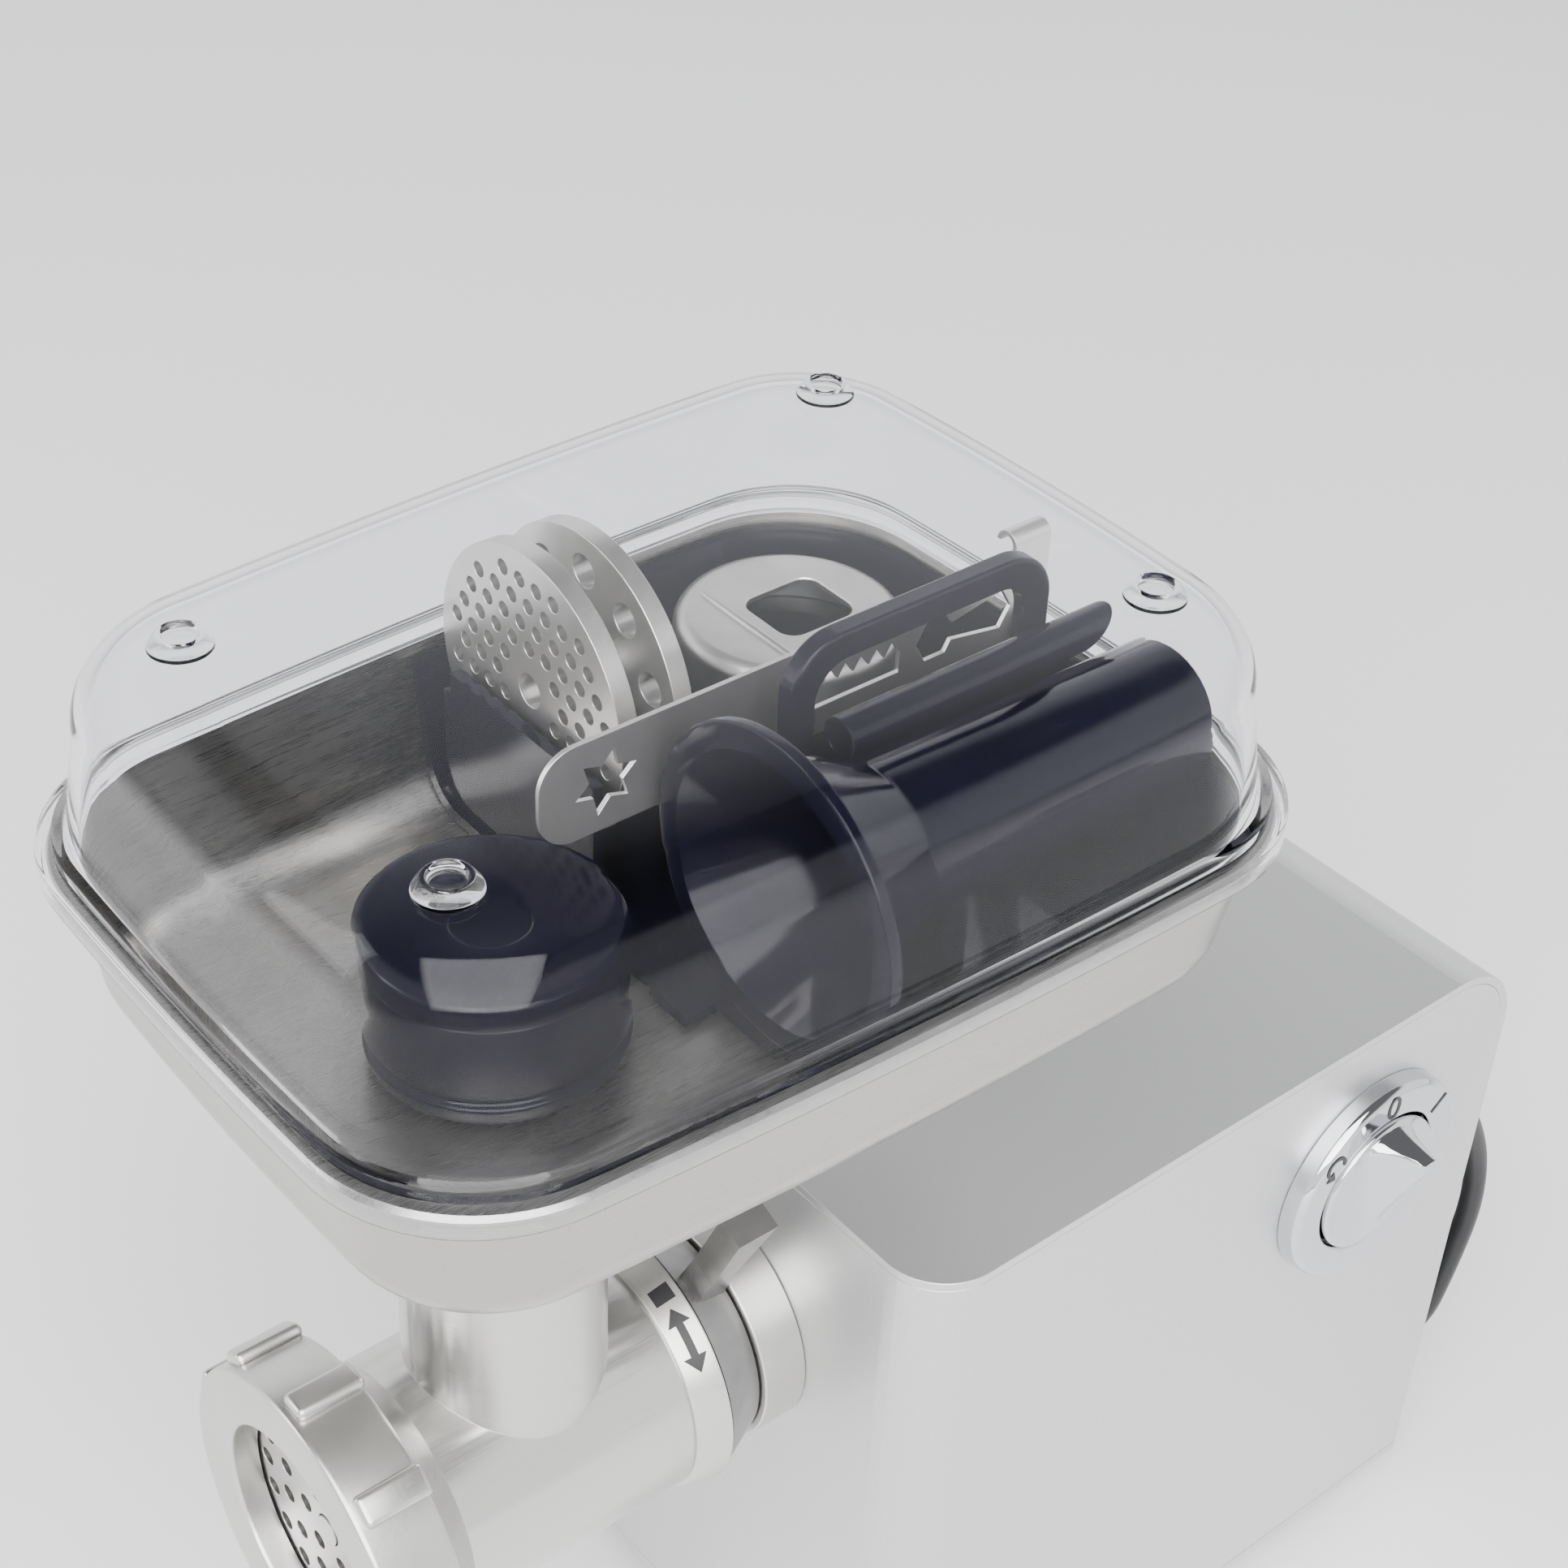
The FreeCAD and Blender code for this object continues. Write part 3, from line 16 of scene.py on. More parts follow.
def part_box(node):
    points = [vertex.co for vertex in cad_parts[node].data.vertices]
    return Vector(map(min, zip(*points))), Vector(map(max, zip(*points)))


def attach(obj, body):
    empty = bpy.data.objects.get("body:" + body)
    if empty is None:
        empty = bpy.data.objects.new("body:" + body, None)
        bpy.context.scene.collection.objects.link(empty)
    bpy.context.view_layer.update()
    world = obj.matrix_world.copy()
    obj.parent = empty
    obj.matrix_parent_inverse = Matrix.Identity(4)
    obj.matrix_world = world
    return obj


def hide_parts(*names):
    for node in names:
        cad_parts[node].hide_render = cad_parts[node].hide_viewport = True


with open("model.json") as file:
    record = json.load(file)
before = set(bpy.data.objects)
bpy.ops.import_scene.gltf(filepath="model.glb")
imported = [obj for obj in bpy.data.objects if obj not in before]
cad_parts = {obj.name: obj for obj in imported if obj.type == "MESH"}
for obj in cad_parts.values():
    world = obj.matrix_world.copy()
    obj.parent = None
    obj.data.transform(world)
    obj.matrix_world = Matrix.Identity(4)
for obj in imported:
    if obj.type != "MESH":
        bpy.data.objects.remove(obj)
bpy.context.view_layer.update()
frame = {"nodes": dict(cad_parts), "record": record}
MM = 0.001

# %% [markdown]
# The model was drawn about the middle of the tray, and its frame has the origin under the middle of
# the whole grinder. One shift turns drawing millimetres into frame metres, so every later cell can
# use the sizes of the drawing.

# %% From drawing millimetres to frame metres
tray_low, tray_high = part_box("tray")
TRAY_CENTRE = Vector(((tray_low[0] + tray_high[0]) / 2, (tray_low[1] + tray_high[1]) / 2, 0))


def place(x, y, z):
    return TRAY_CENTRE + Vector((x, y, z)) * MM


print("tray centre", tuple(round(v, 5) for v in TRAY_CENTRE))

# %% [markdown]
# The camera looks down on the lid from the head's side. Its direction is an azimuth, a height angle
# and a small roll, and a rotation matrix made from three axes holds all of them at once, which is
# easier to check than three Euler angles.

# %% Camera
CAMERA_AT = place(-285.8, -369.4, 677.6)
AZIMUTH, HEIGHT_ANGLE, ROLL = math.radians(-40.776), math.radians(36.527), math.radians(2.713)
LENS_MM = 61.96

back = Vector((math.sin(AZIMUTH) * math.cos(HEIGHT_ANGLE),
               -math.cos(AZIMUTH) * math.cos(HEIGHT_ANGLE), math.sin(HEIGHT_ANGLE)))
level_right = Vector((math.cos(AZIMUTH), math.sin(AZIMUTH), 0))
level_up = back.cross(level_right)
right = level_right * math.cos(ROLL) + level_up * math.sin(ROLL)
up = level_up * math.cos(ROLL) - level_right * math.sin(ROLL)
camera = bpy.data.objects.new("camera", bpy.data.cameras.new("camera"))
camera.data.lens = LENS_MM
camera.data.sensor_width = 36.0
camera.data.clip_start = 0.01
camera.matrix_world = Matrix.Translation(CAMERA_AT) @ Matrix((right, up, back)).transposed().to_4x4()
bpy.context.collection.objects.link(camera)
bpy.context.scene.camera = camera
print("camera at", tuple(round(v, 4) for v in CAMERA_AT), "lens", LENS_MM)

# %% [markdown]
# The mains lead leaves the rear wall through a tapered relief, hangs down behind the housing under
# its own weight, and the rest lies wound in a coil of four turns with the plug beside it. It is one
# NURBS curve: its control points are a few places chosen along the way, and a loop adds the turns.

# %% Mains lead
CORD_RADIUS = 3.5
COIL_CENTRE_X, COIL_CENTRE_Y = 297.0, 46.0
TURN_RADII = (42.0, 35.0)
POINTS_PER_TURN = 16

route = [(257.89, -56.0, 128.73), (269.0, -56.0, 111.0), (273.5, -57.0, 84.0), (270.0, -56.0, 58.0),
         (265.5, -54.0, 31.2), (263.5, -41.0, 13.6), (262.0, -21.5, 3.6), (259.0, 4.0, 3.6),
         (255.0, 30.0, 3.6)]
for layer, (first_r, last_r) in enumerate((TURN_RADII, TURN_RADII[::-1])):
    for step in range(2 * POINTS_PER_TURN):
        turned_by = 2 * math.pi * step / POINTS_PER_TURN
        share = min(max((step - POINTS_PER_TURN * 0.75) / (POINTS_PER_TURN * 0.5), 0.0), 1.0)
        radius = first_r + (last_r - first_r) * share
        climb = min(max((step - 1.6 * POINTS_PER_TURN) / (0.4 * POINTS_PER_TURN), 0.0), 1.0) * (1 - layer)
        height = 3.6 + 7.0 * (layer + climb)
        route.append((COIL_CENTRE_X - radius * math.cos(turned_by) / math.cos(math.pi / POINTS_PER_TURN),
                      COIL_CENTRE_Y + radius * math.sin(turned_by) / math.cos(math.pi / POINTS_PER_TURN),
                      height))
route += [(255.0, 46.0, 10.6), (255.0, 63.0, 10.5), (254.2, 80.0, 9.7), (255.0, 97.0, 8.1)]

lead_curve = bpy.data.curves.new("mains_lead", "CURVE")
lead_curve.dimensions = "3D"
lead_curve.bevel_depth = CORD_RADIUS * MM
lead_curve.bevel_resolution = 5
lead_curve.use_fill_caps = True
line = lead_curve.splines.new("NURBS")
line.points.add(len(route) - 1)
for spot, point in zip(route, line.points):
    point.co = (*place(*spot), 1.0)
line.order_u = 3
line.use_endpoint_u = True
line.resolution_u = 8
mains_lead = bpy.data.objects.new("mains_lead", lead_curve)
bpy.context.collection.objects.link(mains_lead)
lead_length = sum((Vector(b) - Vector(a)).length for a, b in zip(route, route[1:])) * MM
print("lead has", len(route), "control points and about", round(lead_length, 3), "m")

# %% [markdown]
# A material here starts from what the real surface is. The colour is written as the hex value that
# a paint chart would give, and one function turns it into the linear values that the shader adds up.
# One small helper makes every node: constants are set on the socket and links are passed as values.

# %% Material helpers
def linear(hex_colour):
    channels = []
    for k in (1, 3, 5):
        value = int(hex_colour[k:k + 2], 16) / 255.0
        channels.append(value / 12.92 if value <= 0.04045 else ((value + 0.055) / 1.055) ** 2.4)
    return (*channels, 1.0)


def add_node(tree, kind, inputs=None, **settings):
    made = tree.nodes.new(kind)
    for name, value in settings.items():
        setattr(made, name, value)
    for name, value in (inputs or {}).items():
        if isinstance(value, bpy.types.NodeSocket):
            tree.links.new(value, made.inputs[name])
        else:
            made.inputs[name].default_value = value
    return made


def start_material(name, hex_colour, metallic, roughness, **constants):
    """A Principled material: its tree, its shader and its object coordinates."""
    material = bpy.data.materials.new(name)
    material.use_nodes = True
    tree = material.node_tree
    shader = tree.nodes["Principled BSDF"]
    shader.inputs["Base Color"].default_value = linear(hex_colour)
    shader.inputs["Metallic"].default_value = metallic
    shader.inputs["Roughness"].default_value = roughness
    for name, value in constants.items():
        shader.inputs[name.replace("_", " ")].default_value = value
    where = add_node(tree, "ShaderNodeTexCoord").outputs["Object"]
    return material, tree, shader, where


def vary(tree, amount, low, high):
    """A 0 to 1 pattern spread between two values."""
    spread = add_node(tree, "ShaderNodeMapRange", {"Value": amount, "To Min": low, "To Max": high})
    return spread.outputs["Result"]


def grain(tree, where, size_mm, stretch=(1, 1, 1), detail=3.0):
    """Noise whose grains are size_mm wide; stretch above 1 makes them finer along that axis."""
    scaled = add_node(tree, "ShaderNodeMapping", {"Vector": where, "Scale": stretch}).outputs["Vector"]
    return add_node(tree, "ShaderNodeTexNoise", {"Vector": scaled, "Scale": 1.0 / (size_mm * MM),
                                                 "Detail": detail, "Roughness": 0.6}).outputs["Fac"]


def raise_by(tree, shader, height, depth_mm, strength=1.0):
    bump = add_node(tree, "ShaderNodeBump", {"Height": height, "Distance": depth_mm * MM,
                                             "Strength": strength})
    tree.links.new(bump.outputs["Normal"], shader.inputs["Normal"])


def tone(tree, shader, pattern, dark_hex, light_hex):
    mix = add_node(tree, "ShaderNodeMix", data_type="RGBA")
    tree.links.new(pattern, mix.inputs["Factor"])
    mix.inputs[6].default_value = linear(dark_hex)
    mix.inputs[7].default_value = linear(light_hex)
    tree.links.new(mix.outputs[2], shader.inputs["Base Color"])


print("material helpers ready")

# %% [markdown]
# Brushed stainless steel is mirror-like steel with millions of fine parallel scratches. Seen from
# near, each scratch is under 0.05 mm; drawn that fine they vanish, so they are drawn about 0.25 mm
# wide and long along the brushing direction. Flat floors are brushed along X, and walls round Z.

# %% Brushed and ground steels
def brushed_steel(name, hex_colour, roughness, scratch_mm=0.25, wall_lines=True):
    material, tree, shader, where = start_material(name, hex_colour, 1.0, roughness)
    along_x = grain(tree, where, scratch_mm * 60, (1, 60, 60), detail=2.0)
    pattern = along_x
    if wall_lines:
        round_z = grain(tree, where, scratch_mm * 60, (1, 1, 60), detail=2.0)
        facing = add_node(tree, "ShaderNodeNewGeometry").outputs["Normal"]
        upward = add_node(tree, "ShaderNodeSeparateXYZ", {"Vector": facing}).outputs["Z"]
        is_floor = add_node(tree, "ShaderNodeMath", {0: upward}, operation="ABSOLUTE").outputs[0]
        is_floor = add_node(tree, "ShaderNodeMapRange", {"Value": is_floor, "From Min": 0.6, "From Max": 0.8})
        mix = add_node(tree, "ShaderNodeMix", data_type="FLOAT")
        tree.links.new(is_floor.outputs["Result"], mix.inputs[0])
        tree.links.new(round_z, mix.inputs[2])
        tree.links.new(along_x, mix.inputs[3])
        pattern = mix.outputs[0]
    cloud = grain(tree, where, 45.0, detail=2.0)
    streak = vary(tree, pattern, roughness - 0.10, roughness + 0.14)
    both = add_node(tree, "ShaderNodeMath", {0: streak, 1: vary(tree, cloud, -0.05, 0.05)}, operation="ADD")
    tree.links.new(both.outputs[0], shader.inputs["Roughness"])
    raise_by(tree, shader, pattern, 0.02, 0.35)
    return material


def ground_steel(name, hex_colour, roughness, tooth_mm=0.35):
    """Steel ground on a flat stone: short marks in every direction and a faint cloudiness."""
    material, tree, shader, where = start_material(name, hex_colour, 1.0, roughness)
    marks = grain(tree, where, tooth_mm * 8, (3, 1, 8))
    tree.links.new(vary(tree, marks, roughness - 0.08, roughness + 0.12), shader.inputs["Roughness"])
    tone(tree, shader, grain(tree, where, 12.0), "#B5B4B0", hex_colour)
    raise_by(tree, shader, marks, 0.015, 0.4)
    return material


tray_steel = brushed_steel("stainless_brushed", "#A8A6A2", 0.27)
strip_steel = brushed_steel("stainless_strip_brushed", "#DAD8D4", 0.33, 0.12, wall_lines=False)
collar_steel = brushed_steel("aluminium_turned", "#CBCAC6", 0.30, 0.22)
plate_steel = ground_steel("plate_ground_steel", "#CFCECA", 0.30)
cap_steel = ground_steel("cap_satin_steel", "#D9D8D4", 0.33, 0.25)
gear_steel = ground_steel("gear_ground_steel", "#9FA0A2", 0.28)
print("steels:", tray_steel.name, strip_steel.name, plate_steel.name, cap_steel.name)

# %% [markdown]
# The housing is die-cast metal with a satin silver lacquer: a soft even sheen, with metal flakes far
# too fine to see one by one. The dial is chrome plate over a polished casting, so it is almost a
# mirror. The head and ring nut are cast aluminium: the head is linished in fine lines, and the ring
# nut is blasted and polished, with a faint orange peel.

# %% Lacquer, chrome and castings
def satin_lacquer(name, hex_colour, roughness):
    material, tree, shader, where = start_material(name, hex_colour, 0.85, roughness,
                                                   Coat_Weight=0.15, Coat_Roughness=0.25)
    flakes = grain(tree, where, 0.35, detail=1.0)
    tree.links.new(vary(tree, flakes, roughness - 0.04, roughness + 0.04), shader.inputs["Roughness"])
    tone(tree, shader, flakes, "#BFBFC0", hex_colour)
    raise_by(tree, shader, grain(tree, where, 0.8, detail=1.0), 0.004, 0.4)
    return material


def chrome_plate(name):
    material, tree, shader, where = start_material(name, "#CDCED2", 1.0, 0.05)
    tree.links.new(vary(tree, grain(tree, where, 9.0), 0.03, 0.09), shader.inputs["Roughness"])
    return material


def cast_metal(name, hex_colour, roughness, skin_mm=0.9):
    material, tree, shader, where = start_material(name, hex_colour, 1.0, roughness)
    skin = grain(tree, where, skin_mm)
    tree.links.new(vary(tree, skin, roughness - 0.06, roughness + 0.08), shader.inputs["Roughness"])
    tone(tree, shader, grain(tree, where, 22.0), "#B9B8B5", hex_colour)
    raise_by(tree, shader, skin, 0.02, 0.5)
    return material


housing_lacquer = satin_lacquer("satin_silver_lacquer", "#D6D6D7", 0.40)
dial_chrome = chrome_plate("chrome_plate")
head_metal = brushed_steel("cast_aluminium_linished", "#C9C8C5", 0.30, 0.3)
nut_metal = cast_metal("cast_aluminium_polished", "#CFCECB", 0.30)
lever_metal = cast_metal("lever_grey_lacquer", "#6E6E70", 0.38, 0.6)
print("housing, dial and castings:", housing_lacquer.name, dial_chrome.name, head_metal.name)

# %% [markdown]
# The stored parts are glossy ABS, dyed so deep a navy that it looks black until light falls on it.
# Moulded gloss plastic is smooth but never perfect: a slow ripple and a few hairlines break up its
# reflections. The lid is clear SAN plastic: light passes through both faces of a real 2.6 mm wall.
# Its index is set below the plastic's own 1.57, as if a polarising filter cut the glare off the lid.

# %% Plastics
def gloss_abs(name, hex_colour, roughness):
    material, tree, shader, where = start_material(name, hex_colour, 0.0, roughness, IOR=1.54,
                                                   Specular_IOR_Level=0.15)
    hairlines = grain(tree, where, 6.0, (1, 14, 14))
    tree.links.new(vary(tree, hairlines, roughness - 0.04, roughness + 0.08), shader.inputs["Roughness"])
    tone(tree, shader, grain(tree, where, 30.0), "#04040B", hex_colour)
    raise_by(tree, shader, grain(tree, where, 18.0, detail=1.0), 0.05, 0.3)
    return material


def clear_san(name):
    material, tree, shader, where = start_material(name, "#FCFCFF", 0.0, 0.02, IOR=1.22,
                                                   Transmission_Weight=1.0)
    tree.links.new(vary(tree, grain(tree, where, 20.0), 0.005, 0.03), shader.inputs["Roughness"])
    return material


def moulded(name, hex_colour, dark_hex, roughness, texture_mm=0.5, depth_mm=0.02, ior=1.5):
    """Matt moulded plastic or rubber with a fine spark-eroded texture."""
    material, tree, shader, where = start_material(name, hex_colour, 0.0, roughness, IOR=ior)
    texture = grain(tree, where, texture_mm)
    tree.links.new(vary(tree, texture, roughness - 0.08, roughness + 0.08), shader.inputs["Roughness"])
    tone(tree, shader, grain(tree, where, 14.0), dark_hex, hex_colour)
    raise_by(tree, shader, texture, depth_mm, 0.5)
    return material


navy_abs = gloss_abs("navy_gloss_abs", "#080814", 0.10)
lid_clear = clear_san("clear_san")
foot_rubber = moulded("foot_rubber", "#1C1C1D", "#121213", 0.75, 0.7, 0.03)
lead_pvc = moulded("lead_soft_pvc", "#141416", "#0C0C0E", 0.42, 1.2, 0.01)
gear_nylon = moulded("gear_nylon", "#D9D4C2", "#C9C2AC", 0.45)
saddle_pbt = moulded("saddle_pbt", "#26262A", "#1B1B1E", 0.55)
board_green = moulded("board_lacquered", "#1E5A34", "#174628", 0.35, 1.5)
brush_carbon = moulded("brush_carbon", "#2A2A2C", "#1D1D1F", 0.6, 0.3)
ink_black = moulded("mark_ink", "#1B1B1E", "#141416", 0.45, 0.3, 0.003)
laminations = cast_metal("stator_laminations", "#5A5B60", 0.45, 0.4)
copper = cast_metal("winding_copper", "#C98A5E", 0.30, 0.8)
bronze = cast_metal("sintered_bronze", "#B08A55", 0.42, 0.4)
brass = cast_metal("pressed_brass", "#CDB277", 0.26, 0.7)
zinc = cast_metal("zinc_plate", "#B9BCC2", 0.32, 0.6)
print("plastics:", navy_abs.name, lid_clear.name, foot_rubber.name)

# %% [markdown]
# Each node of the frame already has a slot in the record that says what it is made of. A short table
# gives every slot its material, so the sealed motor and gear parts get theirs without a cell each.

# %% Materials for the frame's own nodes
SLOT_MATERIALS = {
    "painted_silver": housing_lacquer, "rubber": foot_rubber, "zinc_steel": zinc,
    "brushed_metal": collar_steel, "lever_metal": lever_metal, "cast_metal": nut_metal,
    "gear_nylon": gear_nylon, "gear_steel": gear_steel, "bronze": bronze,
    "laminated_iron": laminations, "copper": copper, "brush_carbon": brush_carbon,
    "brush_brass": brass, "saddle_plastic": saddle_pbt, "circuit_board": board_green,
    "chrome": dial_chrome, "plate_steel": plate_steel, "brushed_stainless": tray_steel,
    "satin_cap_steel": cap_steel, "clear_plastic": lid_clear, "dark_plastic": navy_abs,
    "cord_rubber": lead_pvc, "pin_brass": brass,
}
SPECIAL_MATERIALS = {"head_casting": head_metal, "cookie_strip": strip_steel}
slot_of = {row["node"]: row["material_slot"] for row in frame["record"]["subparts"]}


def material_for(node):
    return SPECIAL_MATERIALS.get(node, SLOT_MATERIALS[slot_of[node]])


for node, thing in frame["nodes"].items():
    thing.data.materials.clear()
    thing.data.materials.append(material_for(node))
print("materials given to", len(frame["nodes"]), "nodes")

# %% [markdown]
# Edges on real parts are never sharp: a bent sheet, a casting and a moulding each have a small
# radius, and the light it catches outlines the part. The frame's meshes are loose triangles, so a
# copy is merged, its flat areas are joined again, and a Bevel modifier rounds every edge that turns
# by more than 30 degrees. The copy then stands for the node.

# %% Copies with softened edges
body_of_node = {}
for body, nodes in frame["record"]["behaviour"]["bodies"].items():
    for node in nodes:
        body_of_node[node] = body


def smooth_by_angle(mesh, degrees):
    mesh.shade_smooth()
    mesh.set_sharp_from_angle(angle=math.radians(degrees))


def add_object(name, mesh, body, material):
    thing = bpy.data.objects.new(name, mesh)
    bpy.context.collection.objects.link(thing)
    mesh.materials.clear()
    mesh.materials.append(material)
    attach(thing, body)
    return thing


def softened(node, edge_mm, segments=2, angle=30):
    mesh = frame["nodes"][node].data.copy()
    shape = bmesh.new()
    shape.from_mesh(mesh)
    bmesh.ops.remove_doubles(shape, verts=shape.verts, dist=1e-6)
    bmesh.ops.dissolve_limit(shape, angle_limit=math.radians(0.6), verts=shape.verts, edges=shape.edges)
    shape.to_mesh(mesh)
    shape.free()
    smooth_by_angle(mesh, angle)
    thing = add_object(node + "_finished", mesh, body_of_node[node], material_for(node))
    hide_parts(node)
    bevel = thing.modifiers.new("edge", "BEVEL")
    bevel.width = edge_mm * MM
    bevel.segments = segments
    bevel.limit_method = "ANGLE"
    bevel.angle_limit = math.radians(angle)
    bevel.use_clamp_overlap = True
    bevel.harden_normals = True
    return thing


SOFT_EDGES_MM = {
    "body_wrap": 0.9, "top_rear_panel": 0.9, "base_plate": 0.5, "front_collar": 0.6, "head_casting": 0.8,
    "lock_ring": 1.0, "accessory_rack": 0.5, "rack_arch": 0.9, "fine_plate": 0.25, "coarse_plate": 0.3,
    "medium_plate": 0.25, "cookie_strip": 0.12, "mains_plug": 1.2, "rubber_feet": 0.8,
    "slim_stuffing_tube": 0.3,
}
for node, edge_mm in SOFT_EDGES_MM.items():
    softened(node, edge_mm)
print("softened", len(SOFT_EDGES_MM), "nodes")

# %% [markdown]
# The lid and the tray are both drawn from one outline: a rounded rectangle whose sides bow out by
# 3 mm and whose long sides open by 2 degrees towards the housing. It is eight arcs that meet without
# a kink, and because each one is an arc, its points come from a centre, a radius and an angle. Every
# height of the part is one such loop, a little smaller or larger, and quads join loop to loop.

# %% Outline of tray and lid
SIDE_BOW, SIDE_SPLAY = 3.0, math.radians(2.0)


def corner_centre(side, side_reach, end, end_reach):
    """The point at two given reaches from two arc centres, on the +Y side."""
    between = end - side
    along = (side_reach ** 2 - end_reach ** 2 + between.length_squared) / (2 * between.length)
    across = Vector((-between.y, between.x)).normalized() * math.sqrt(side_reach ** 2 - along ** 2)
    foot = side + between.normalized() * along
    return max(foot + across, foot - across, key=lambda spot: spot.y)


def bowed_loop(half_length, half_width, corner, z, steps=(12, 18, 32)):
    """Points in millimetres round a bowed rounded rectangle, anticlockwise from +X."""
    side_r = (half_length ** 2 + SIDE_BOW ** 2) / (2 * SIDE_BOW)
    end_r = (half_width ** 2 + SIDE_BOW ** 2) / (2 * SIDE_BOW)
    side = Vector((side_r * math.sin(SIDE_SPLAY), half_width + SIDE_BOW - side_r * math.cos(SIDE_SPLAY)))
    ends = [Vector((way * (half_length + SIDE_BOW - end_r), 0.0)) for way in (1, -1)]
    corners = [corner_centre(side, side_r - corner, end, end_r - corner) for end in ends]
    end_turns = [math.atan2((c - e).y, (c - e).x) for c, e in zip(corners, ends)]
    side_turns = [math.atan2((c - side).y, (c - side).x) for c in corners]
    arcs = ((ends[0], end_r, 0.0, end_turns[0], steps[0]),
            (corners[0], corner, end_turns[0], side_turns[0], steps[1]),
            (side, side_r, side_turns[0], side_turns[1], steps[2]),
            (corners[1], corner, side_turns[1], end_turns[1], steps[1]),
            (ends[1], end_r, end_turns[1], math.pi, steps[0]))
    upper = []
    for centre, radius, start, stop, count in arcs:
        for k in range(count):
            angle = start + (stop - start) * k / count
            upper.append((centre.x + radius * math.cos(angle), centre.y + radius * math.sin(angle)))
    upper.append((-half_length - SIDE_BOW, 0.0))
    lower = [(x, -y) for x, y in upper[::-1][1:-1]]
    return [(x, y, z) for x, y in upper + lower]


def skin(name, loops, closed=True, cap_first=False, cap_last=False):
    """A mesh of quads through loops of equal length; each point is in drawing millimetres."""
    mesh = bpy.data.meshes.new(name)
    count = len(loops[0])
    verts = [place(*point) for loop in loops for point in loop]
    rows = len(loops) if closed else len(loops) - 1
    faces = []
    for row in range(rows):
        low, high = row * count, (row + 1) % len(loops) * count
        for k in range(count):
            after = (k + 1) % count
            faces.append((low + k, low + after, high + after, high + k))
    if cap_first:
        faces.append(tuple(range(count))[::-1])
    if cap_last:
        faces.append(tuple((len(loops) - 1) * count + k for k in range(count)))
    mesh.from_pydata(verts, [], faces)
    shape = bmesh.new()
    shape.from_mesh(mesh)
    bmesh.ops.remove_doubles(shape, verts=shape.verts, dist=1e-7)
    bmesh.ops.recalc_face_normals(shape, faces=shape.faces)
    shape.to_mesh(mesh)
    shape.free()
    return mesh


print("outline has", len(bowed_loop(100, 70, 30, 0)), "points")

# %% [markdown]
# The tray is one deep-drawn sheet: a bright lip folded outwards, walls that lean in by 8 mm, a bottom
# edge with a 16 mm radius, and a throat pressed down into the feed tube. Its profile is walked once
# round, outside then inside, and the loops near the throat blend from the outline to a circle.

# %% Tray
TRAY_LIP, TRAY_FLOOR, TRAY_HALF, TRAY_CORNER = 325.0, 282.0, (114.5, 84.5), 38.0
SHEET, TAPER = 1.2, 8.0
FEED_X, THROAT_R, THROAT_END = -46.6, 22.3, 262.0


def inset_loop(half, corner, inset, z):
    return bowed_loop(half[0] - inset, half[1] - inset, corner - 0.8 * inset, z)


def wall_loops(half, corner, z_open, z_closed, taper, edge_r, steps=12):
    """Loops of a tapering wall and its rounded closed edge."""
    height = abs(z_closed - z_open)
    up = 1 if z_closed > z_open else -1
    foot = taper * (1 - edge_r / height)
    loops = [inset_loop(half, corner, foot * k / 4, z_open + up * (height - edge_r) * k / 4)
             for k in range(4)]
    for k in range(steps + 1):
        angle = math.pi / 2 * k / steps
        loops.append(inset_loop(half, corner, foot + edge_r * (1 - math.cos(angle)),
                                z_closed - up * edge_r * (1 - math.sin(angle))))
    return loops


def toward_circle(loop, cx, cy, radius, share, z):
    """A loop part of the way from an outline to a circle round (cx, cy)."""
    points = []
    for x, y, _ in loop:
        angle = math.atan2(y - cy, x - cx)
        points.append((x + (cx + radius * math.cos(angle) - x) * share,
                       y + (cy + radius * math.sin(angle) - y) * share, z))
    return points


outside = wall_loops(TRAY_HALF, TRAY_CORNER, TRAY_LIP - 2.0, TRAY_FLOOR, TAPER * 0.95, 16.0)
inner_half = (TRAY_HALF[0] - SHEET, TRAY_HALF[1] - SHEET)
inside = wall_loops(inner_half, TRAY_CORNER - SHEET, TRAY_LIP, TRAY_FLOOR + SHEET, TAPER, 15.0)
under = [toward_circle(outside[-1], FEED_X, 0, THROAT_R + 2.5, s, TRAY_FLOOR) for s in (0.3, 0.6, 0.85, 1.0)]
under += [toward_circle(outside[-1], FEED_X, 0, THROAT_R + r, 1.0, z)
          for r, z in ((0.8, TRAY_FLOOR - 0.6), (0.0, TRAY_FLOOR - 2.4), (0.0, THROAT_END))]
above = [toward_circle(inside[-1], FEED_X, 0, THROAT_R + 2.0, s, TRAY_FLOOR + SHEET)
         for s in (0.3, 0.6, 0.85, 1.0)]
above += [toward_circle(inside[-1], FEED_X, 0, THROAT_R + r, 1.0, z)
          for r, z in ((0.2, TRAY_FLOOR + 0.8), (-1.0, TRAY_FLOOR - 1.2), (-1.0, THROAT_END))]
LIP_OUT = 2.2
lip = [inset_loop(TRAY_HALF, TRAY_CORNER, -LIP_OUT + d, z)
       for d, z in ((1.9, TRAY_LIP - 1.7), (0.5, TRAY_LIP - 1.6), (0.0, TRAY_LIP - 1.1),
                    (0.0, TRAY_LIP - 0.5), (0.5, TRAY_LIP), (2.0, TRAY_LIP))]
tray_mesh = skin("tray_pressing", under[::-1] + outside[::-1] + lip + inside + above)
smooth_by_angle(tray_mesh, 40)
tray = add_object("tray_pressing", tray_mesh, "tray", tray_steel)
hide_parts("tray")
print("tray has", len(tray_mesh.polygons), "faces")

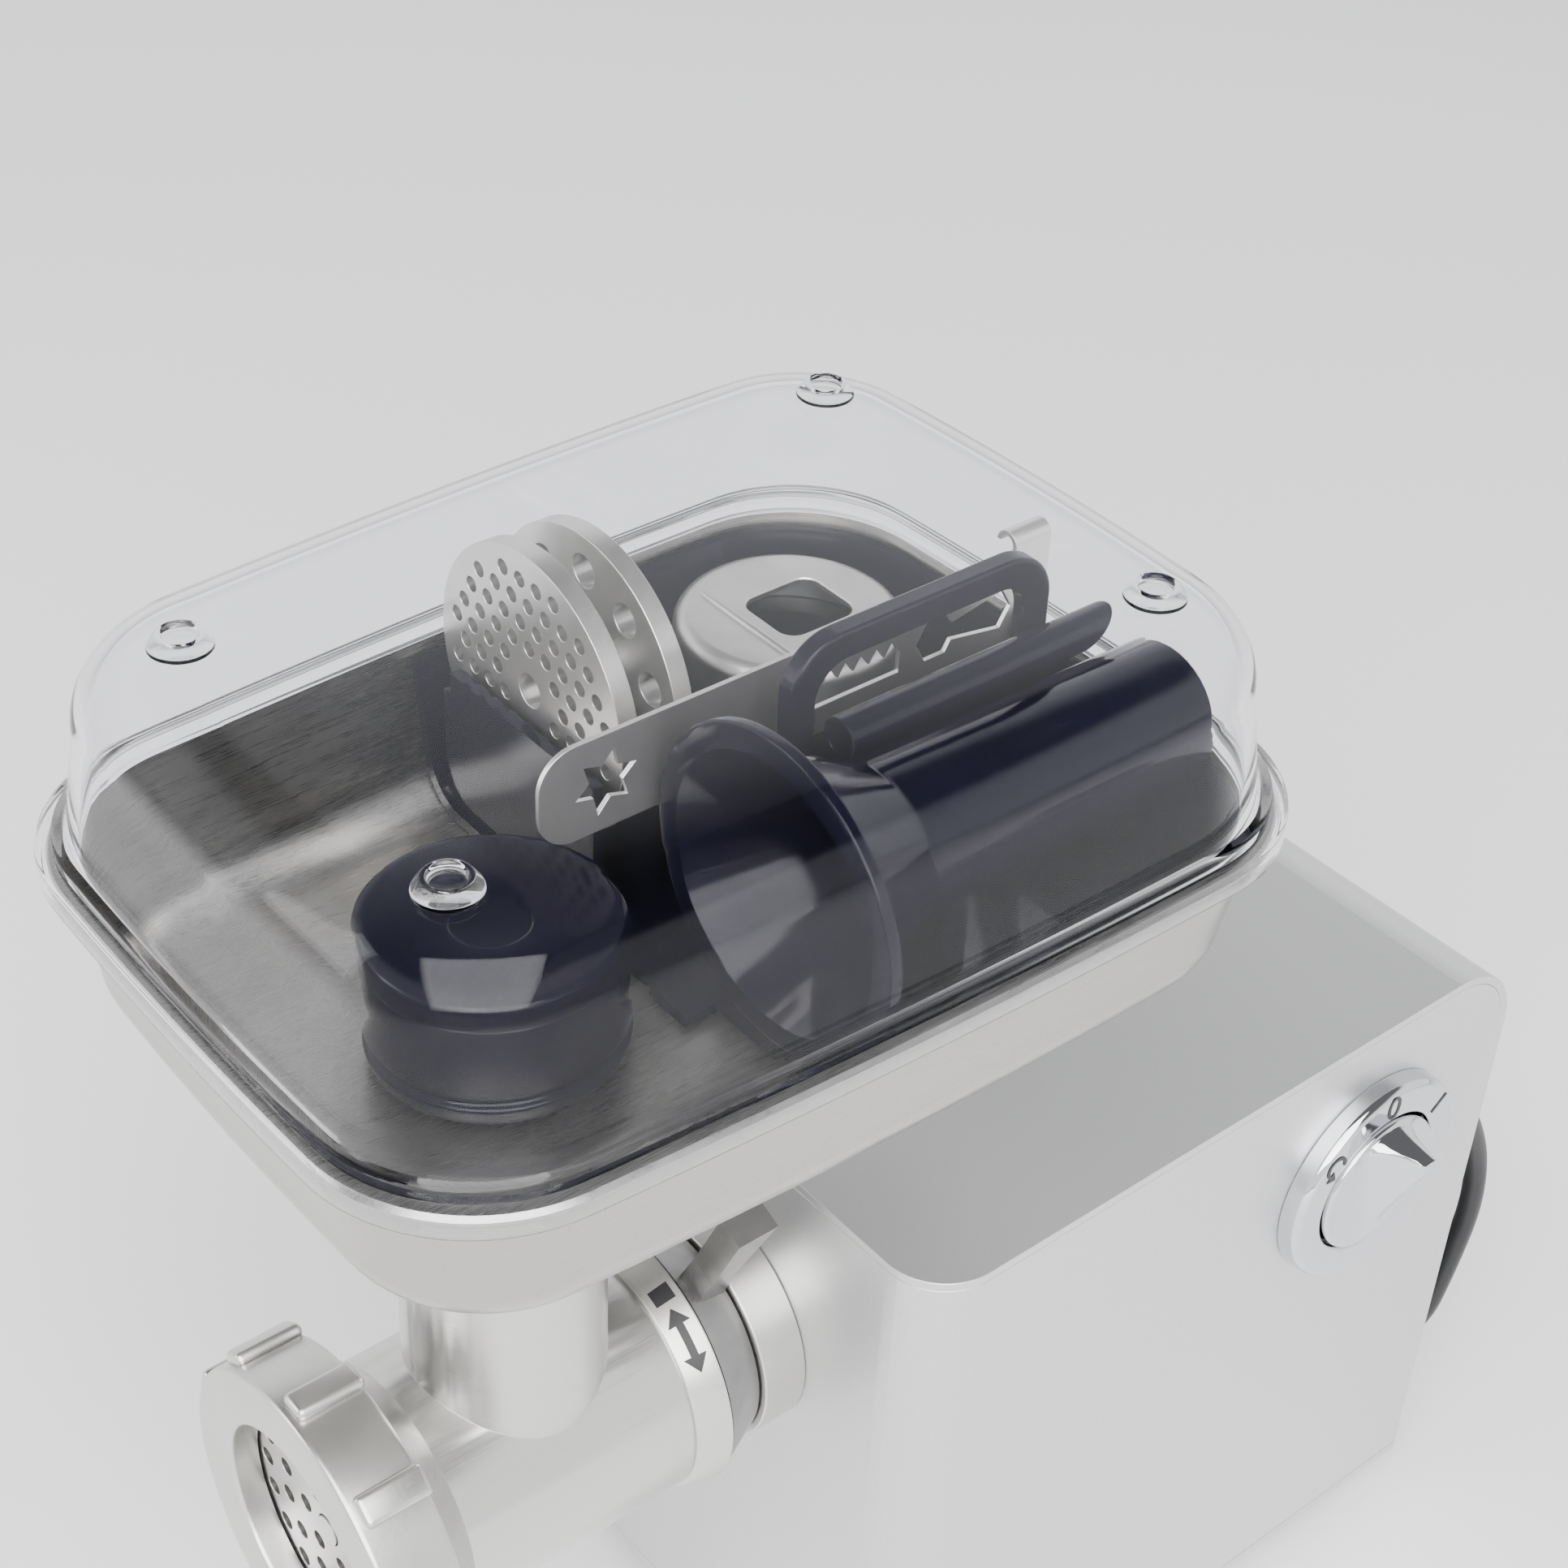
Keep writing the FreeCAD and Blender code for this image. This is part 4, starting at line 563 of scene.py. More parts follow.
# %% [markdown]
# The lid is injection moulded in one clear piece, open below. For real refraction it must be a closed
# shell, so the same loops run up the outside, over the top and back down the inside. Its foot is a
# stepped flange with a thin skirt round the tray's lip, which draws the bright double line there.

# %% Clear lid
LID_FOOT, LID_TOP, LID_HALF, LID_CORNER = 325.3, 375.0, (113.5, 83.5), 38.0
LID_WALL, LID_TAPER, SHOULDER = 2.6, 7.0, 18.0


def closing_loops(loop, z, shares=(0.25, 0.5, 0.75, 0.93)):
    return [[(x * (1 - s), y * (1 - s), z) for x, y, _ in loop] for s in shares]


lid_outside = wall_loops(LID_HALF, LID_CORNER, LID_FOOT, LID_TOP, LID_TAPER, SHOULDER)[1:]
lid_inner_half = (LID_HALF[0] - LID_WALL, LID_HALF[1] - LID_WALL)
lid_inside = wall_loops(lid_inner_half, LID_CORNER - LID_WALL, LID_FOOT, LID_TOP - LID_WALL,
                        LID_TAPER, SHOULDER - 2)
flange = [inset_loop(LID_HALF, LID_CORNER - 2, -out, LID_FOOT + up)
          for out, up in ((0.0, 0.0), (3.3, 0.0), (3.5, -0.2), (3.5, -3.2), (3.8, -3.5), (4.8, -3.5),
                          (5.1, -3.2), (5.1, 1.5), (4.9, 2.0), (4.4, 2.2), (2.2, 2.2), (1.8, 2.4),
                          (1.6, 2.9), (1.6, 4.6), (1.3, 5.2), (0.7, 5.5), (-0.5, 5.6), (-0.85, 6.2))]
crown_out = closing_loops(lid_outside[-1], LID_TOP)
crown_in = closing_loops(lid_inside[-1], LID_TOP - LID_WALL)
lid_loops = crown_in[::-1] + lid_inside[::-1] + flange + lid_outside + crown_out
lid_mesh = skin("lid_shell", lid_loops, closed=False, cap_first=True, cap_last=True)
smooth_by_angle(lid_mesh, 50)
lid = add_object("lid_shell", lid_mesh, "lid", lid_clear)
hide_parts("clear_lid")
lid.visible_shadow = False
print("lid has", len(lid_mesh.polygons), "faces")

# %% [markdown]
# Four hollow studs stand on the lid so that lids can be stacked. They repeat, so Geometry Nodes make
# them: a mesh stud is set on four points. A turned shape is a profile of radius and height swung
# round an axis, and this helper is used for every round piece that follows.

# %% Turned shapes
TURN_STEPS = 96


def rounded_profile(points, radius, steps=4):
    """Round each inner corner of an open profile of (radius, height) points."""
    result = [points[0]]
    for before, corner, after in zip(points, points[1:], points[2:]):
        a, b, c = Vector(before), Vector(corner), Vector(after)
        reach = min(radius, (b - a).length * 0.45, (c - b).length * 0.45)
        start, stop = b + (a - b).normalized() * reach, b + (c - b).normalized() * reach
        for k in range(steps + 1):
            t = k / steps
            spot = start * (1 - t) ** 2 + b * 2 * t * (1 - t) + stop * t ** 2
            result.append((spot.x, spot.y))
    result.append(points[-1])
    return result


def turned(name, profile, centre, axis="Z", closed=True, steps=TURN_STEPS, sharp=35):
    """Swing a profile round an axis through centre; heights run along the axis."""
    loops = []
    for radius, height in profile:
        ring_points = []
        for k in range(steps):
            angle = 2 * math.pi * k / steps
            across, over = radius * math.cos(angle), radius * math.sin(angle)
            offset = {"X": (height, across, over), "Y": (over, height, across),
                      "Z": (across, over, height)}[axis]
            ring_points.append(tuple(c + o for c, o in zip(centre, offset)))
        loops.append(ring_points)
    mesh = skin(name, loops, closed=closed, cap_first=not closed, cap_last=not closed)
    smooth_by_angle(mesh, sharp)
    return mesh


stud_profile = rounded_profile([(3.0, 0.4), (3.6, 0.7), (3.8, 1.9), (4.1, 2.35), (5.0, 2.35), (6.7, 0.0),
                                (6.9, -1.2), (6.6, -1.3)], 0.5)
stud_profile = [(0.01, 0.4)] + stud_profile + [(0.01, -1.3)]
stud_mesh = turned("stud_pattern", stud_profile, (0, 0, 0), closed=False, steps=48)
stud_mesh.transform(Matrix.Translation(-TRAY_CENTRE))
print("stud has", len(stud_mesh.polygons), "faces")

# %% Copies of a piece set on points by Geometry Nodes
def repeat_on_points(name, pattern_mesh, points, turns, material, body):
    """Instances of a pattern mesh on points, each with its own turn, made one plain mesh."""
    spots = bpy.data.meshes.new(name + "_spots")
    spots.from_pydata([tuple(p) for p in points], [], [])
    turn_data = spots.attributes.new("turn", "FLOAT_VECTOR", "POINT")
    for item, turn in zip(turn_data.data, turns):
        item.vector = turn
    host = bpy.data.objects.new(name + "_spots", spots)
    pattern = bpy.data.objects.new(name + "_pattern", pattern_mesh)
    bpy.context.collection.objects.link(host)
    bpy.context.collection.objects.link(pattern)
    tree = bpy.data.node_groups.new(name + "_repeat", "GeometryNodeTree")
    for label, kind, way in (
            ("Geometry", "NodeSocketGeometry", "INPUT"), ("Pattern", "NodeSocketObject", "INPUT"),
            ("Size", "NodeSocketFloat", "INPUT"), ("Geometry", "NodeSocketGeometry", "OUTPUT")):
        tree.interface.new_socket(label, in_out=way, socket_type=kind)
    given = add_node(tree, "NodeGroupInput")
    shown = add_node(tree, "GeometryNodeObjectInfo", {"Object": given.outputs["Pattern"]})
    turn = add_node(tree, "GeometryNodeInputNamedAttribute", {"Name": "turn"}, data_type="FLOAT_VECTOR")
    rotate = add_node(tree, "FunctionNodeEulerToRotation", {"Euler": turn.outputs["Attribute"]})
    copies = add_node(tree, "GeometryNodeInstanceOnPoints", {
        "Points": given.outputs["Geometry"], "Instance": shown.outputs["Geometry"],
        "Rotation": rotate.outputs["Rotation"], "Scale": given.outputs["Size"]})
    real = add_node(tree, "GeometryNodeRealizeInstances", {"Geometry": copies.outputs["Instances"]})
    painted = add_node(tree, "GeometryNodeSetMaterial",
                       {"Geometry": real.outputs["Geometry"], "Material": material})
    out = add_node(tree, "NodeGroupOutput")
    tree.links.new(painted.outputs["Geometry"], out.inputs["Geometry"])
    modifier = host.modifiers.new("repeat", "NODES")
    modifier.node_group = tree
    keys = {item.name: item.identifier for item in tree.interface.items_tree if item.in_out == "INPUT"}
    modifier[keys["Pattern"]] = pattern
    modifier[keys["Size"]] = 1.0
    graph = bpy.context.evaluated_depsgraph_get()
    mesh = bpy.data.meshes.new_from_object(host.evaluated_get(graph))
    mesh.name = name
    host.modifiers.clear()
    bpy.data.objects.remove(host)
    bpy.data.objects.remove(pattern)
    thing = add_object(name, mesh, body, material)
    print(name, "has", len(points), "copies and", len(mesh.polygons), "faces")
    return thing


STUDS = ((-86.5, 48.1), (86.5, 54.2))
stud_spots = [place(x, side * y, LID_TOP) for x, y in STUDS for side in (-1, 1)]
studs = repeat_on_points("lid_studs", stud_mesh, stud_spots, [(0, 0, 0)] * len(stud_spots), lid_clear,
                         "lid")
studs.visible_shadow = False

# %% [markdown]
# The pusher is two turned mouldings pressed together: a broad cap that fits the palm, with a groove
# where its lower lip begins, and a hollow stem that reaches down the feed tube. Every corner of the
# profile gets a small radius, because a gloss plastic edge always shows one.

# %% Pusher
PUSHER_CAP_R, CAP_FOOT, CAP_TOP, STEM_R, STEM_END = 29.5, 283.6, 316.0, 20.4, 200.0
cap_profile = rounded_profile([(18.0, CAP_FOOT), (PUSHER_CAP_R - 1.0, CAP_FOOT),
                               (PUSHER_CAP_R, CAP_FOOT + 5.4),
                               (PUSHER_CAP_R - 1.9, CAP_FOOT + 6.2), (PUSHER_CAP_R - 1.9, CAP_FOOT + 8.6),
                               (PUSHER_CAP_R, CAP_FOOT + 9.4), (PUSHER_CAP_R, CAP_TOP - 7.3),
                               (PUSHER_CAP_R - 0.35, CAP_TOP - 7.1), (PUSHER_CAP_R, CAP_TOP - 6.9),
                               (PUSHER_CAP_R, CAP_TOP), (9.0, CAP_TOP), (8.6, CAP_TOP - 0.25),
                               (0.02, CAP_TOP - 0.25)], 2.6, steps=6)
cap_mesh = turned("pusher_cap_moulding", cap_profile + [(0.02, CAP_TOP - 3.0), (18.0, CAP_TOP - 3.0)],
                  (FEED_X, 0, 0), closed=True, steps=128)
pusher = add_object("pusher_cap_moulding", cap_mesh, "pusher", navy_abs)
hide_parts("pusher_cap")
stem_profile = rounded_profile([(STEM_R - 2.4, CAP_FOOT), (STEM_R, CAP_FOOT), (STEM_R, STEM_END),
                                (0.02, STEM_END)], 1.5)
stem_profile += [(0.02, STEM_END + 3.0), (STEM_R - 2.4, STEM_END + 3.0)]
stem = add_object("pusher_stem_moulding", turned("pusher_stem_moulding", stem_profile, (FEED_X, 0, 0)),
                  "pusher", navy_abs)
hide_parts("pusher_stem")
print("pusher cap spans", 2 * PUSHER_CAP_R, "mm")

# %% [markdown]
# The large stuffing tube is moulded with a flat flange, a funnel and a long spout that narrows
# slightly so that it leaves its mould. One closed profile, outside then inside, makes it hollow.

# %% Large stuffing tube
TUBE_Y, TUBE_Z, FLANGE_R, FLANGE_X, TUBE_END = -44.2, 332.0, 37.5, -8.0, 107.0
outer_tube = rounded_profile([(31.6, FLANGE_X), (FLANGE_R, FLANGE_X), (FLANGE_R, FLANGE_X + 3.0),
                              (31.0, FLANGE_X + 3.0), (18.0, FLANGE_X + 29.0), (16.0, TUBE_END),
                              (14.2, TUBE_END)], 0.8)
inner_tube = rounded_profile([(14.2, TUBE_END), (16.2, FLANGE_X + 27.5), (31.4, FLANGE_X)], 6.0)
tube_mesh = turned("large_stuffing_tube_moulding", outer_tube + inner_tube[1:], (0, TUBE_Y, TUBE_Z), "X",
                   steps=128)
tube = add_object("large_stuffing_tube_moulding", tube_mesh, "large_tube", navy_abs)
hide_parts("large_stuffing_tube")
print("tube is", TUBE_END - FLANGE_X, "mm long")

# %% [markdown]
# The cookie disc is a pressed cap with a rounded window in its top. Its rim is a circle and its
# window a rounded rectangle, so each loop between them has its points on the same rays.

# %% Cookie disc
DISC_X, DISC_Y, DISC_R, DISC_TOP, DISC_BASE = 75.6, 50.6, 28.5, 319.0, 306.0
WINDOW_MIDDLE, WINDOW_HALF, WINDOW_CORNER, DISC_SHEET, DISC_STEPS = 3.0, (11.0, 10.0), 4.5, 1.5, 144


def window_reach(angle, grow=0.0):
    """Distance from the window's middle to its edge along a ray."""
    half_x, half_y, corner = WINDOW_HALF[0] + grow, WINDOW_HALF[1] + grow, WINDOW_CORNER + grow
    low, high = 0.0, half_x + half_y
    for _ in range(40):
        reach = (low + high) / 2
        over_x = abs(reach * math.cos(angle)) - half_x + corner
        over_y = abs(reach * math.sin(angle)) - half_y + corner
        outside = math.hypot(max(over_x, 0.0), max(over_y, 0.0)) + min(max(over_x, over_y), 0.0) > corner
        low, high = (low, reach) if outside else (reach, high)
    return low


def disc_loop(radius, z, share=0.0, grow=0.0):
    """A circle that turns into the window as share goes from 0 to 1."""
    points = []
    for k in range(DISC_STEPS):
        angle = 2 * math.pi * k / DISC_STEPS
        reach = window_reach(angle, grow)
        x = radius * math.cos(angle) * (1 - share) + (WINDOW_MIDDLE + reach * math.cos(angle)) * share
        y = radius * math.sin(angle) * (1 - share) + reach * math.sin(angle) * share
        points.append((DISC_X + x, DISC_Y + y, z))
    return points


disc_loops = [disc_loop(DISC_R - DISC_SHEET, DISC_BASE), disc_loop(DISC_R - 0.3, DISC_BASE),
              disc_loop(DISC_R, DISC_BASE + 0.3)]
for step in range(9):
    angle = math.pi / 2 * step / 8
    disc_loops.append(disc_loop(DISC_R - 4.0 + 4.0 * math.cos(angle), DISC_TOP - 4.0 + 4.0 * math.sin(angle)))
disc_loops += [disc_loop(DISC_R - 4.0, DISC_TOP, share, 0.3) for share in (0.35, 0.7, 1.0)]
disc_loops += [disc_loop(0, DISC_TOP - 0.3, 1.0), disc_loop(0, DISC_TOP - DISC_SHEET, 1.0)]
disc_loops += [disc_loop(DISC_R - 4.0, DISC_TOP - DISC_SHEET, 0.5),
               disc_loop(DISC_R - 4.0, DISC_TOP - DISC_SHEET),
               disc_loop(DISC_R - DISC_SHEET, DISC_TOP - 4.0)]
disc_mesh = skin("cookie_disc_pressed", disc_loops)
smooth_by_angle(disc_mesh, 40)
disc = add_object("cookie_disc_pressed", disc_mesh, "cookie_disc", cap_steel)
RIB_X, RIB_REACH = DISC_X - 12.5, 18.0
rib_profile = rounded_profile([(0.02, DISC_Y - RIB_REACH), (1.2, DISC_Y - RIB_REACH),
                               (1.2, DISC_Y + RIB_REACH), (0.02, DISC_Y + RIB_REACH)], 1.1)
rib_bar = turned("cookie_disc_rib", rib_profile, (RIB_X, 0, DISC_TOP - 0.2), "Y", closed=False, steps=32)
add_object("cookie_disc_rib", rib_bar, "cookie_disc", cap_steel)
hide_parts("cookie_disc")
print("disc has", len(disc_mesh.polygons), "faces")

# %% [markdown]
# The switch dial is two chrome-plated castings. The bezel is a plain turned ring, but the knob is a
# disc with a fin across it whose flanks are scooped out for finger and thumb. That shape is a
# height over the disc, so a polar grid is raised by a formula: high along the fin, falling in a
# hollow curve to each side, and sloping away below the middle.

# %% Dial bezel and knob
DIAL_X, DIAL_Z, BEZEL_R, KNOB_R = 180.0, 167.0, 32.0, 21.0
WALL_Y, BEZEL_FACE_Y, KNOB_FACE_Y, GRIP_Y = -74.0, -80.5, -81.5, -94.9
bezel_profile = rounded_profile([(5.2, WALL_Y), (BEZEL_R, WALL_Y), (BEZEL_R - 0.4, BEZEL_FACE_Y + 1.6),
                                 (BEZEL_R - 1.6, BEZEL_FACE_Y), (KNOB_R + 1.5, BEZEL_FACE_Y),
                                 (KNOB_R + 0.7, BEZEL_FACE_Y + 0.8), (KNOB_R + 0.6, BEZEL_FACE_Y + 5.0),
                                 (5.2, BEZEL_FACE_Y + 5.0)], 0.7)
bezel_mesh = turned("dial_bezel_plated", bezel_profile, (DIAL_X, 0, DIAL_Z), "Y", steps=128)
bezel = add_object("dial_bezel_plated", bezel_mesh, "housing", dial_chrome)
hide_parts("dial_bezel")

FIN_HALF, SCOOP_END, FIN_TOP, FIN_FOOT = 2.4, 14.0, 18.2, -18.8


def knob_height(u, v):
    """How far the knob stands out at u across and v along the fin, all in millimetres."""
    side = max(abs(u) - FIN_HALF, 0.0) / (SCOOP_END - FIN_HALF)
    scoop = max(1.0 - side, 0.0) ** 3.4
    rise = KNOB_FACE_Y - GRIP_Y
    slope = min(max((v - FIN_FOOT) / (FIN_TOP - 3.0 - FIN_FOOT), 0.0), 1.0)
    along = slope ** 1.25 * min(max((FIN_TOP + 1.8 - v) / 1.8, 0.0), 1.0) ** 0.5
    rim_fall = min(max((KNOB_R - 0.6 - math.hypot(u, v)) / 2.2, 0.0), 1.0)
    return rise * scoop * along * rim_fall


knob_loops = [[(DIAL_X + 0.01 * math.cos(a), KNOB_FACE_Y + 5.3, DIAL_Z + 0.01 * math.sin(a))
               for a in (2 * math.pi * k / 160 for k in range(160))]]
for radius, depth in ((KNOB_R - 0.4, 5.3), (KNOB_R, 4.9), (KNOB_R, 0.9), (KNOB_R - 0.3, 0.25),
                      (KNOB_R - 0.9, 0.0)):
    knob_loops.append([(DIAL_X + radius * math.cos(a), KNOB_FACE_Y + depth, DIAL_Z + radius * math.sin(a))
                       for a in (2 * math.pi * k / 160 for k in range(160))])
for step in range(44, -1, -1):
    radius = max((KNOB_R - 1.0) * step / 44, 0.01)
    loop = []
    for k in range(160):
        angle = 2 * math.pi * k / 160
        u, v = radius * math.cos(angle), radius * math.sin(angle)
        loop.append((DIAL_X + u, KNOB_FACE_Y - knob_height(u, v), DIAL_Z + v))
    knob_loops.append(loop)
knob_mesh = skin("dial_knob_plated", knob_loops, closed=False, cap_first=True, cap_last=True)
smooth_by_angle(knob_mesh, 60)
knob = add_object("dial_knob_plated", knob_mesh, "dial", dial_chrome)
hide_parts("dial_knob")
print("knob has", len(knob_mesh.polygons), "faces")

# %% [markdown]
# The dial's marks are generic: a nought for off, a one for on, and a bent arrow for reverse. Text and
# flat outlines are turned to meshes first, and then laid on the bezel's face, a hair proud of it.

# %% Dial marks
MARK_R, MARK_DEPTH = 26.5, 0.12
MARK_PLANE = Matrix.Rotation(math.pi / 2, 4, "X")


def lay_on_bezel(mesh, degrees):
    """Set a mesh drawn round the origin in millimetres on the bezel; 0 degrees is straight up."""
    angle = math.radians(degrees)
    mesh.transform(Matrix.Rotation(-angle, 4, "Z"))
    mesh.transform(Matrix.Translation((MARK_R * math.sin(angle), MARK_R * math.cos(angle), 0)))
    mesh.transform(Matrix.Scale(MM, 4))
    mesh.transform(Matrix.Translation(place(DIAL_X, BEZEL_FACE_Y - MARK_DEPTH, DIAL_Z)) @ MARK_PLANE)


def numeral(name, text, size_mm):
    font = bpy.data.curves.new(name, "FONT")
    font.body, font.size, font.align_x, font.align_y = text, size_mm, "CENTER", "CENTER"
    font.extrude = MARK_DEPTH * 0.5
    writer = bpy.data.objects.new(name + "_text", font)
    bpy.context.collection.objects.link(writer)
    mesh = bpy.data.meshes.new_from_object(writer.evaluated_get(bpy.context.evaluated_depsgraph_get()))
    bpy.data.objects.remove(writer)
    return mesh


def flat_shape(name, outline, thickness):
    mesh = bpy.data.meshes.new(name)
    shape = bmesh.new()
    face = shape.faces.new([shape.verts.new((x, y, 0)) for x, y in outline])
    lifted = bmesh.ops.extrude_face_region(shape, geom=[face])["geom"]
    for vert in (item for item in lifted if isinstance(item, bmesh.types.BMVert)):
        vert.co.z += thickness
    bmesh.ops.recalc_face_normals(shape, faces=shape.faces)
    shape.to_mesh(mesh)
    shape.free()
    return mesh


def bent_arrow():
    """An arrow bent round three quarters of a small circle."""
    outer = [(3.7 * math.cos(math.radians(a)), 3.7 * math.sin(math.radians(a))) for a in range(-60, 181, 20)]
    inner = [(2.6 * math.cos(math.radians(a)), 2.6 * math.sin(math.radians(a))) for a in range(180, -61, -20)]
    return outer + [(-5.1, 0.0), (-3.15, -2.9), (-1.2, 0.0)] + inner


MARKS = ((numeral("mark_off", "0", 11.0), 0, "mark_off"), (numeral("mark_on", "1", 10.0), 50, "mark_on"),
         (flat_shape("mark_reverse", bent_arrow(), MARK_DEPTH * 0.8), -50, "mark_reverse"))
for mesh, degrees, name in MARKS:
    lay_on_bezel(mesh, degrees)
    add_object(name, mesh, "housing", ink_black)
print("dial marks:", [name for _, _, name in MARKS])

# %% [markdown]
# The ring nut is a cast ring with ten finger ribs. The ring is turned and the ribs, which repeat, are
# one rounded bar set on ten points round it. They join the ring by sinking 1 mm into it.

# %% Ring nut
AXIS_Z, NUT_FRONT, NUT_REAR, NUT_R, FLARE_R, OUTLET_R = 155.0, -106.0, -86.5, 46.0, 41.0, 31.0
nut_profile = rounded_profile([(OUTLET_R, NUT_FRONT + 7.7), (OUTLET_R, NUT_FRONT), (NUT_R, NUT_FRONT),
                               (NUT_R, NUT_REAR), (FLARE_R + 0.3, NUT_REAR),
                               (FLARE_R + 0.3, NUT_FRONT + 7.7), (OUTLET_R, NUT_FRONT + 7.7)], 1.6)
nut_mesh = turned("ring_nut_turned", nut_profile[:-1], (0, 0, AXIS_Z), "X", steps=128)
nut = add_object("ring_nut_turned", nut_mesh, "nut", nut_metal)
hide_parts("ring_nut")
RIB_COUNT, RIB_HALF, RIB_OUT = 10, 4.0, 49.0
rib_mesh = bpy.data.meshes.new("nut_rib_pattern")
rib_shape = bmesh.new()
bmesh.ops.create_cube(rib_shape, size=1.0)
bmesh.ops.scale(rib_shape, verts=rib_shape.verts,
                vec=Vector((NUT_REAR - NUT_FRONT - 2.0, 2 * RIB_HALF, RIB_OUT - NUT_R + 0.9)) * MM)
bmesh.ops.bevel(rib_shape, geom=rib_shape.edges, offset=1.6 * MM, segments=4, profile=0.5, affect="EDGES")
rib_shape.to_mesh(rib_mesh)
rib_shape.free()
rib_mesh.shade_smooth()
rib_spots, rib_turns = [], []
for k in range(RIB_COUNT):
    angle = 2 * math.pi * k / RIB_COUNT
    middle = (RIB_OUT + NUT_R - 0.9) / 2
    rib_spots.append(place((NUT_FRONT + NUT_REAR + 2.0) / 2, -middle * math.sin(angle),
                           AXIS_Z + middle * math.cos(angle)))
    rib_turns.append((angle, 0, 0))
repeat_on_points("ring_nut_ribs", rib_mesh, rib_spots, rib_turns, nut_metal, "nut")

# %% [markdown]
# The ring behind the feed tube is turned aluminium with printed marks: a small square and a double
# arrow that shows which way the lever turns. The marks wrap round the ring, so they are drawn in
# millimetres along its rim and across it, cut into strips, and bent onto the cone.

# %% Marked ring
RING_X0, RING_X1, RING_R0, RING_R1 = -14.0, -5.0, 33.8, 36.8
marked_profile = rounded_profile([(26.05, RING_X0), (RING_R0, RING_X0), (RING_R1, RING_X1),
                                  (26.05, RING_X1)], 0.5)
marked_mesh = turned("marked_ring_turned", marked_profile, (0, 0, AXIS_Z), "X", steps=160)
marked = add_object("marked_ring_turned", marked_mesh, "head", collar_steel)
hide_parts("marked_ring")


def wrap_on_ring(name, pieces, start_degrees):
    """Flat rectangles and triangles, given as (s, x) corner lists, bent round the ring's cone."""
    mesh = bpy.data.meshes.new(name)
    shape = bmesh.new()
    for piece in pieces:
        shape.faces.new([shape.verts.new((s, x, 0)) for s, x in piece])
    bmesh.ops.subdivide_edges(shape, edges=shape.edges, cuts=5, use_grid_fill=True)
    bmesh.ops.triangulate(shape, faces=shape.faces)
    for vert in shape.verts:
        s, x = vert.co.x, vert.co.y
        radius = RING_R0 + (RING_R1 - RING_R0) * x / (RING_X1 - RING_X0) + 0.08
        angle = math.radians(start_degrees) + s / RING_R1
        vert.co = place(RING_X0 + x, -radius * math.sin(angle), AXIS_Z + radius * math.cos(angle))
    bmesh.ops.recalc_face_normals(shape, faces=shape.faces)
    shape.to_mesh(mesh)
    shape.free()
    return add_object(name, mesh, "head", ink_black)


wrap_on_ring("ring_square_mark", [[(0, 2.0), (4.6, 2.0), (4.6, 7.2), (0, 7.2)]], 17)
wrap_on_ring("ring_arrow_mark", [[(0, 4.5), (4.6, 1.6), (4.6, 7.4)],
                                 [(4.6, 3.5), (13.4, 3.5), (13.4, 5.5), (4.6, 5.5)],
                                 [(18, 4.5), (13.4, 7.4), (13.4, 1.6)]], 27)
print("marks wrapped on a ring of radius", RING_R1, "mm")

# %% [markdown]
# The strain relief is soft PVC moulded over the lead: a flange against the wall, then a taper that
# thins towards the lead with grooves, so that it bends gradually. It is a turned shape whose axis is
# tilted down, and rings along it repeat by a loop in the profile.

# %% Strain relief
GLAND_Y, GLAND_Z, REAR_X, TILT = -56.0, 140.0, 234.7, math.radians(28.0)
relief_profile = [(0.02, -2.0), (6.8, -2.0)]
for k in range(6):
    foot = 2.0 + 3.6 * k
    radius = 7.0 - 2.3 * k / 6
    relief_profile += [(radius, foot), (radius - 0.1, foot + 2.2), (radius - 1.1, foot + 2.5),
                       (radius - 1.2, foot + 3.3)]
relief_profile += [(4.6, 23.8), (3.6, 24.0), (0.02, 24.0)]
relief_mesh = turned("strain_relief", relief_profile, (0, 0, 0), "X", closed=False, steps=40)
relief_mesh.transform(Matrix.Translation(-TRAY_CENTRE))
relief_foot = Matrix.Translation(place(REAR_X + 2.0, GLAND_Y, GLAND_Z))
relief_mesh.transform(relief_foot @ Matrix.Rotation(TILT, 4, "Y"))
flange_profile = rounded_profile([(0.02, REAR_X - 6.0), (6.8, REAR_X - 6.0), (6.8, REAR_X), (10.0, REAR_X),
                                  (10.0, REAR_X + 3.0), (0.02, REAR_X + 3.0)], 0.8)
flange_mesh = turned("relief_flange", flange_profile, (0, GLAND_Y, GLAND_Z), "X", closed=False, steps=48)
relief = add_object("strain_relief", relief_mesh, "housing", lead_pvc)
add_object("relief_flange", flange_mesh, "housing", lead_pvc)
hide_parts("cord_gland")
print("strain relief is 24 mm long")

# %% [markdown]
# The lead takes the soft PVC and rides on the housing. It stands for the three solids that the
# engineering model has for it, which are hidden, and the plug's body and pins go with it.

mains_lead.data.materials.append(lead_pvc)
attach(mains_lead, "housing")
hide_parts("cord_hanging", "cord_coil", "cord_lead")

# %% [markdown]
# A product picture on white needs a pale floor that runs out of sight, one broad soft light behind the
# camera, a narrow one at the left, and a bright surround that the metal can reflect. The surround
# darkens between 33 and 41 degrees, so the tray's floor stays grey and the gloss plastic stays dark.

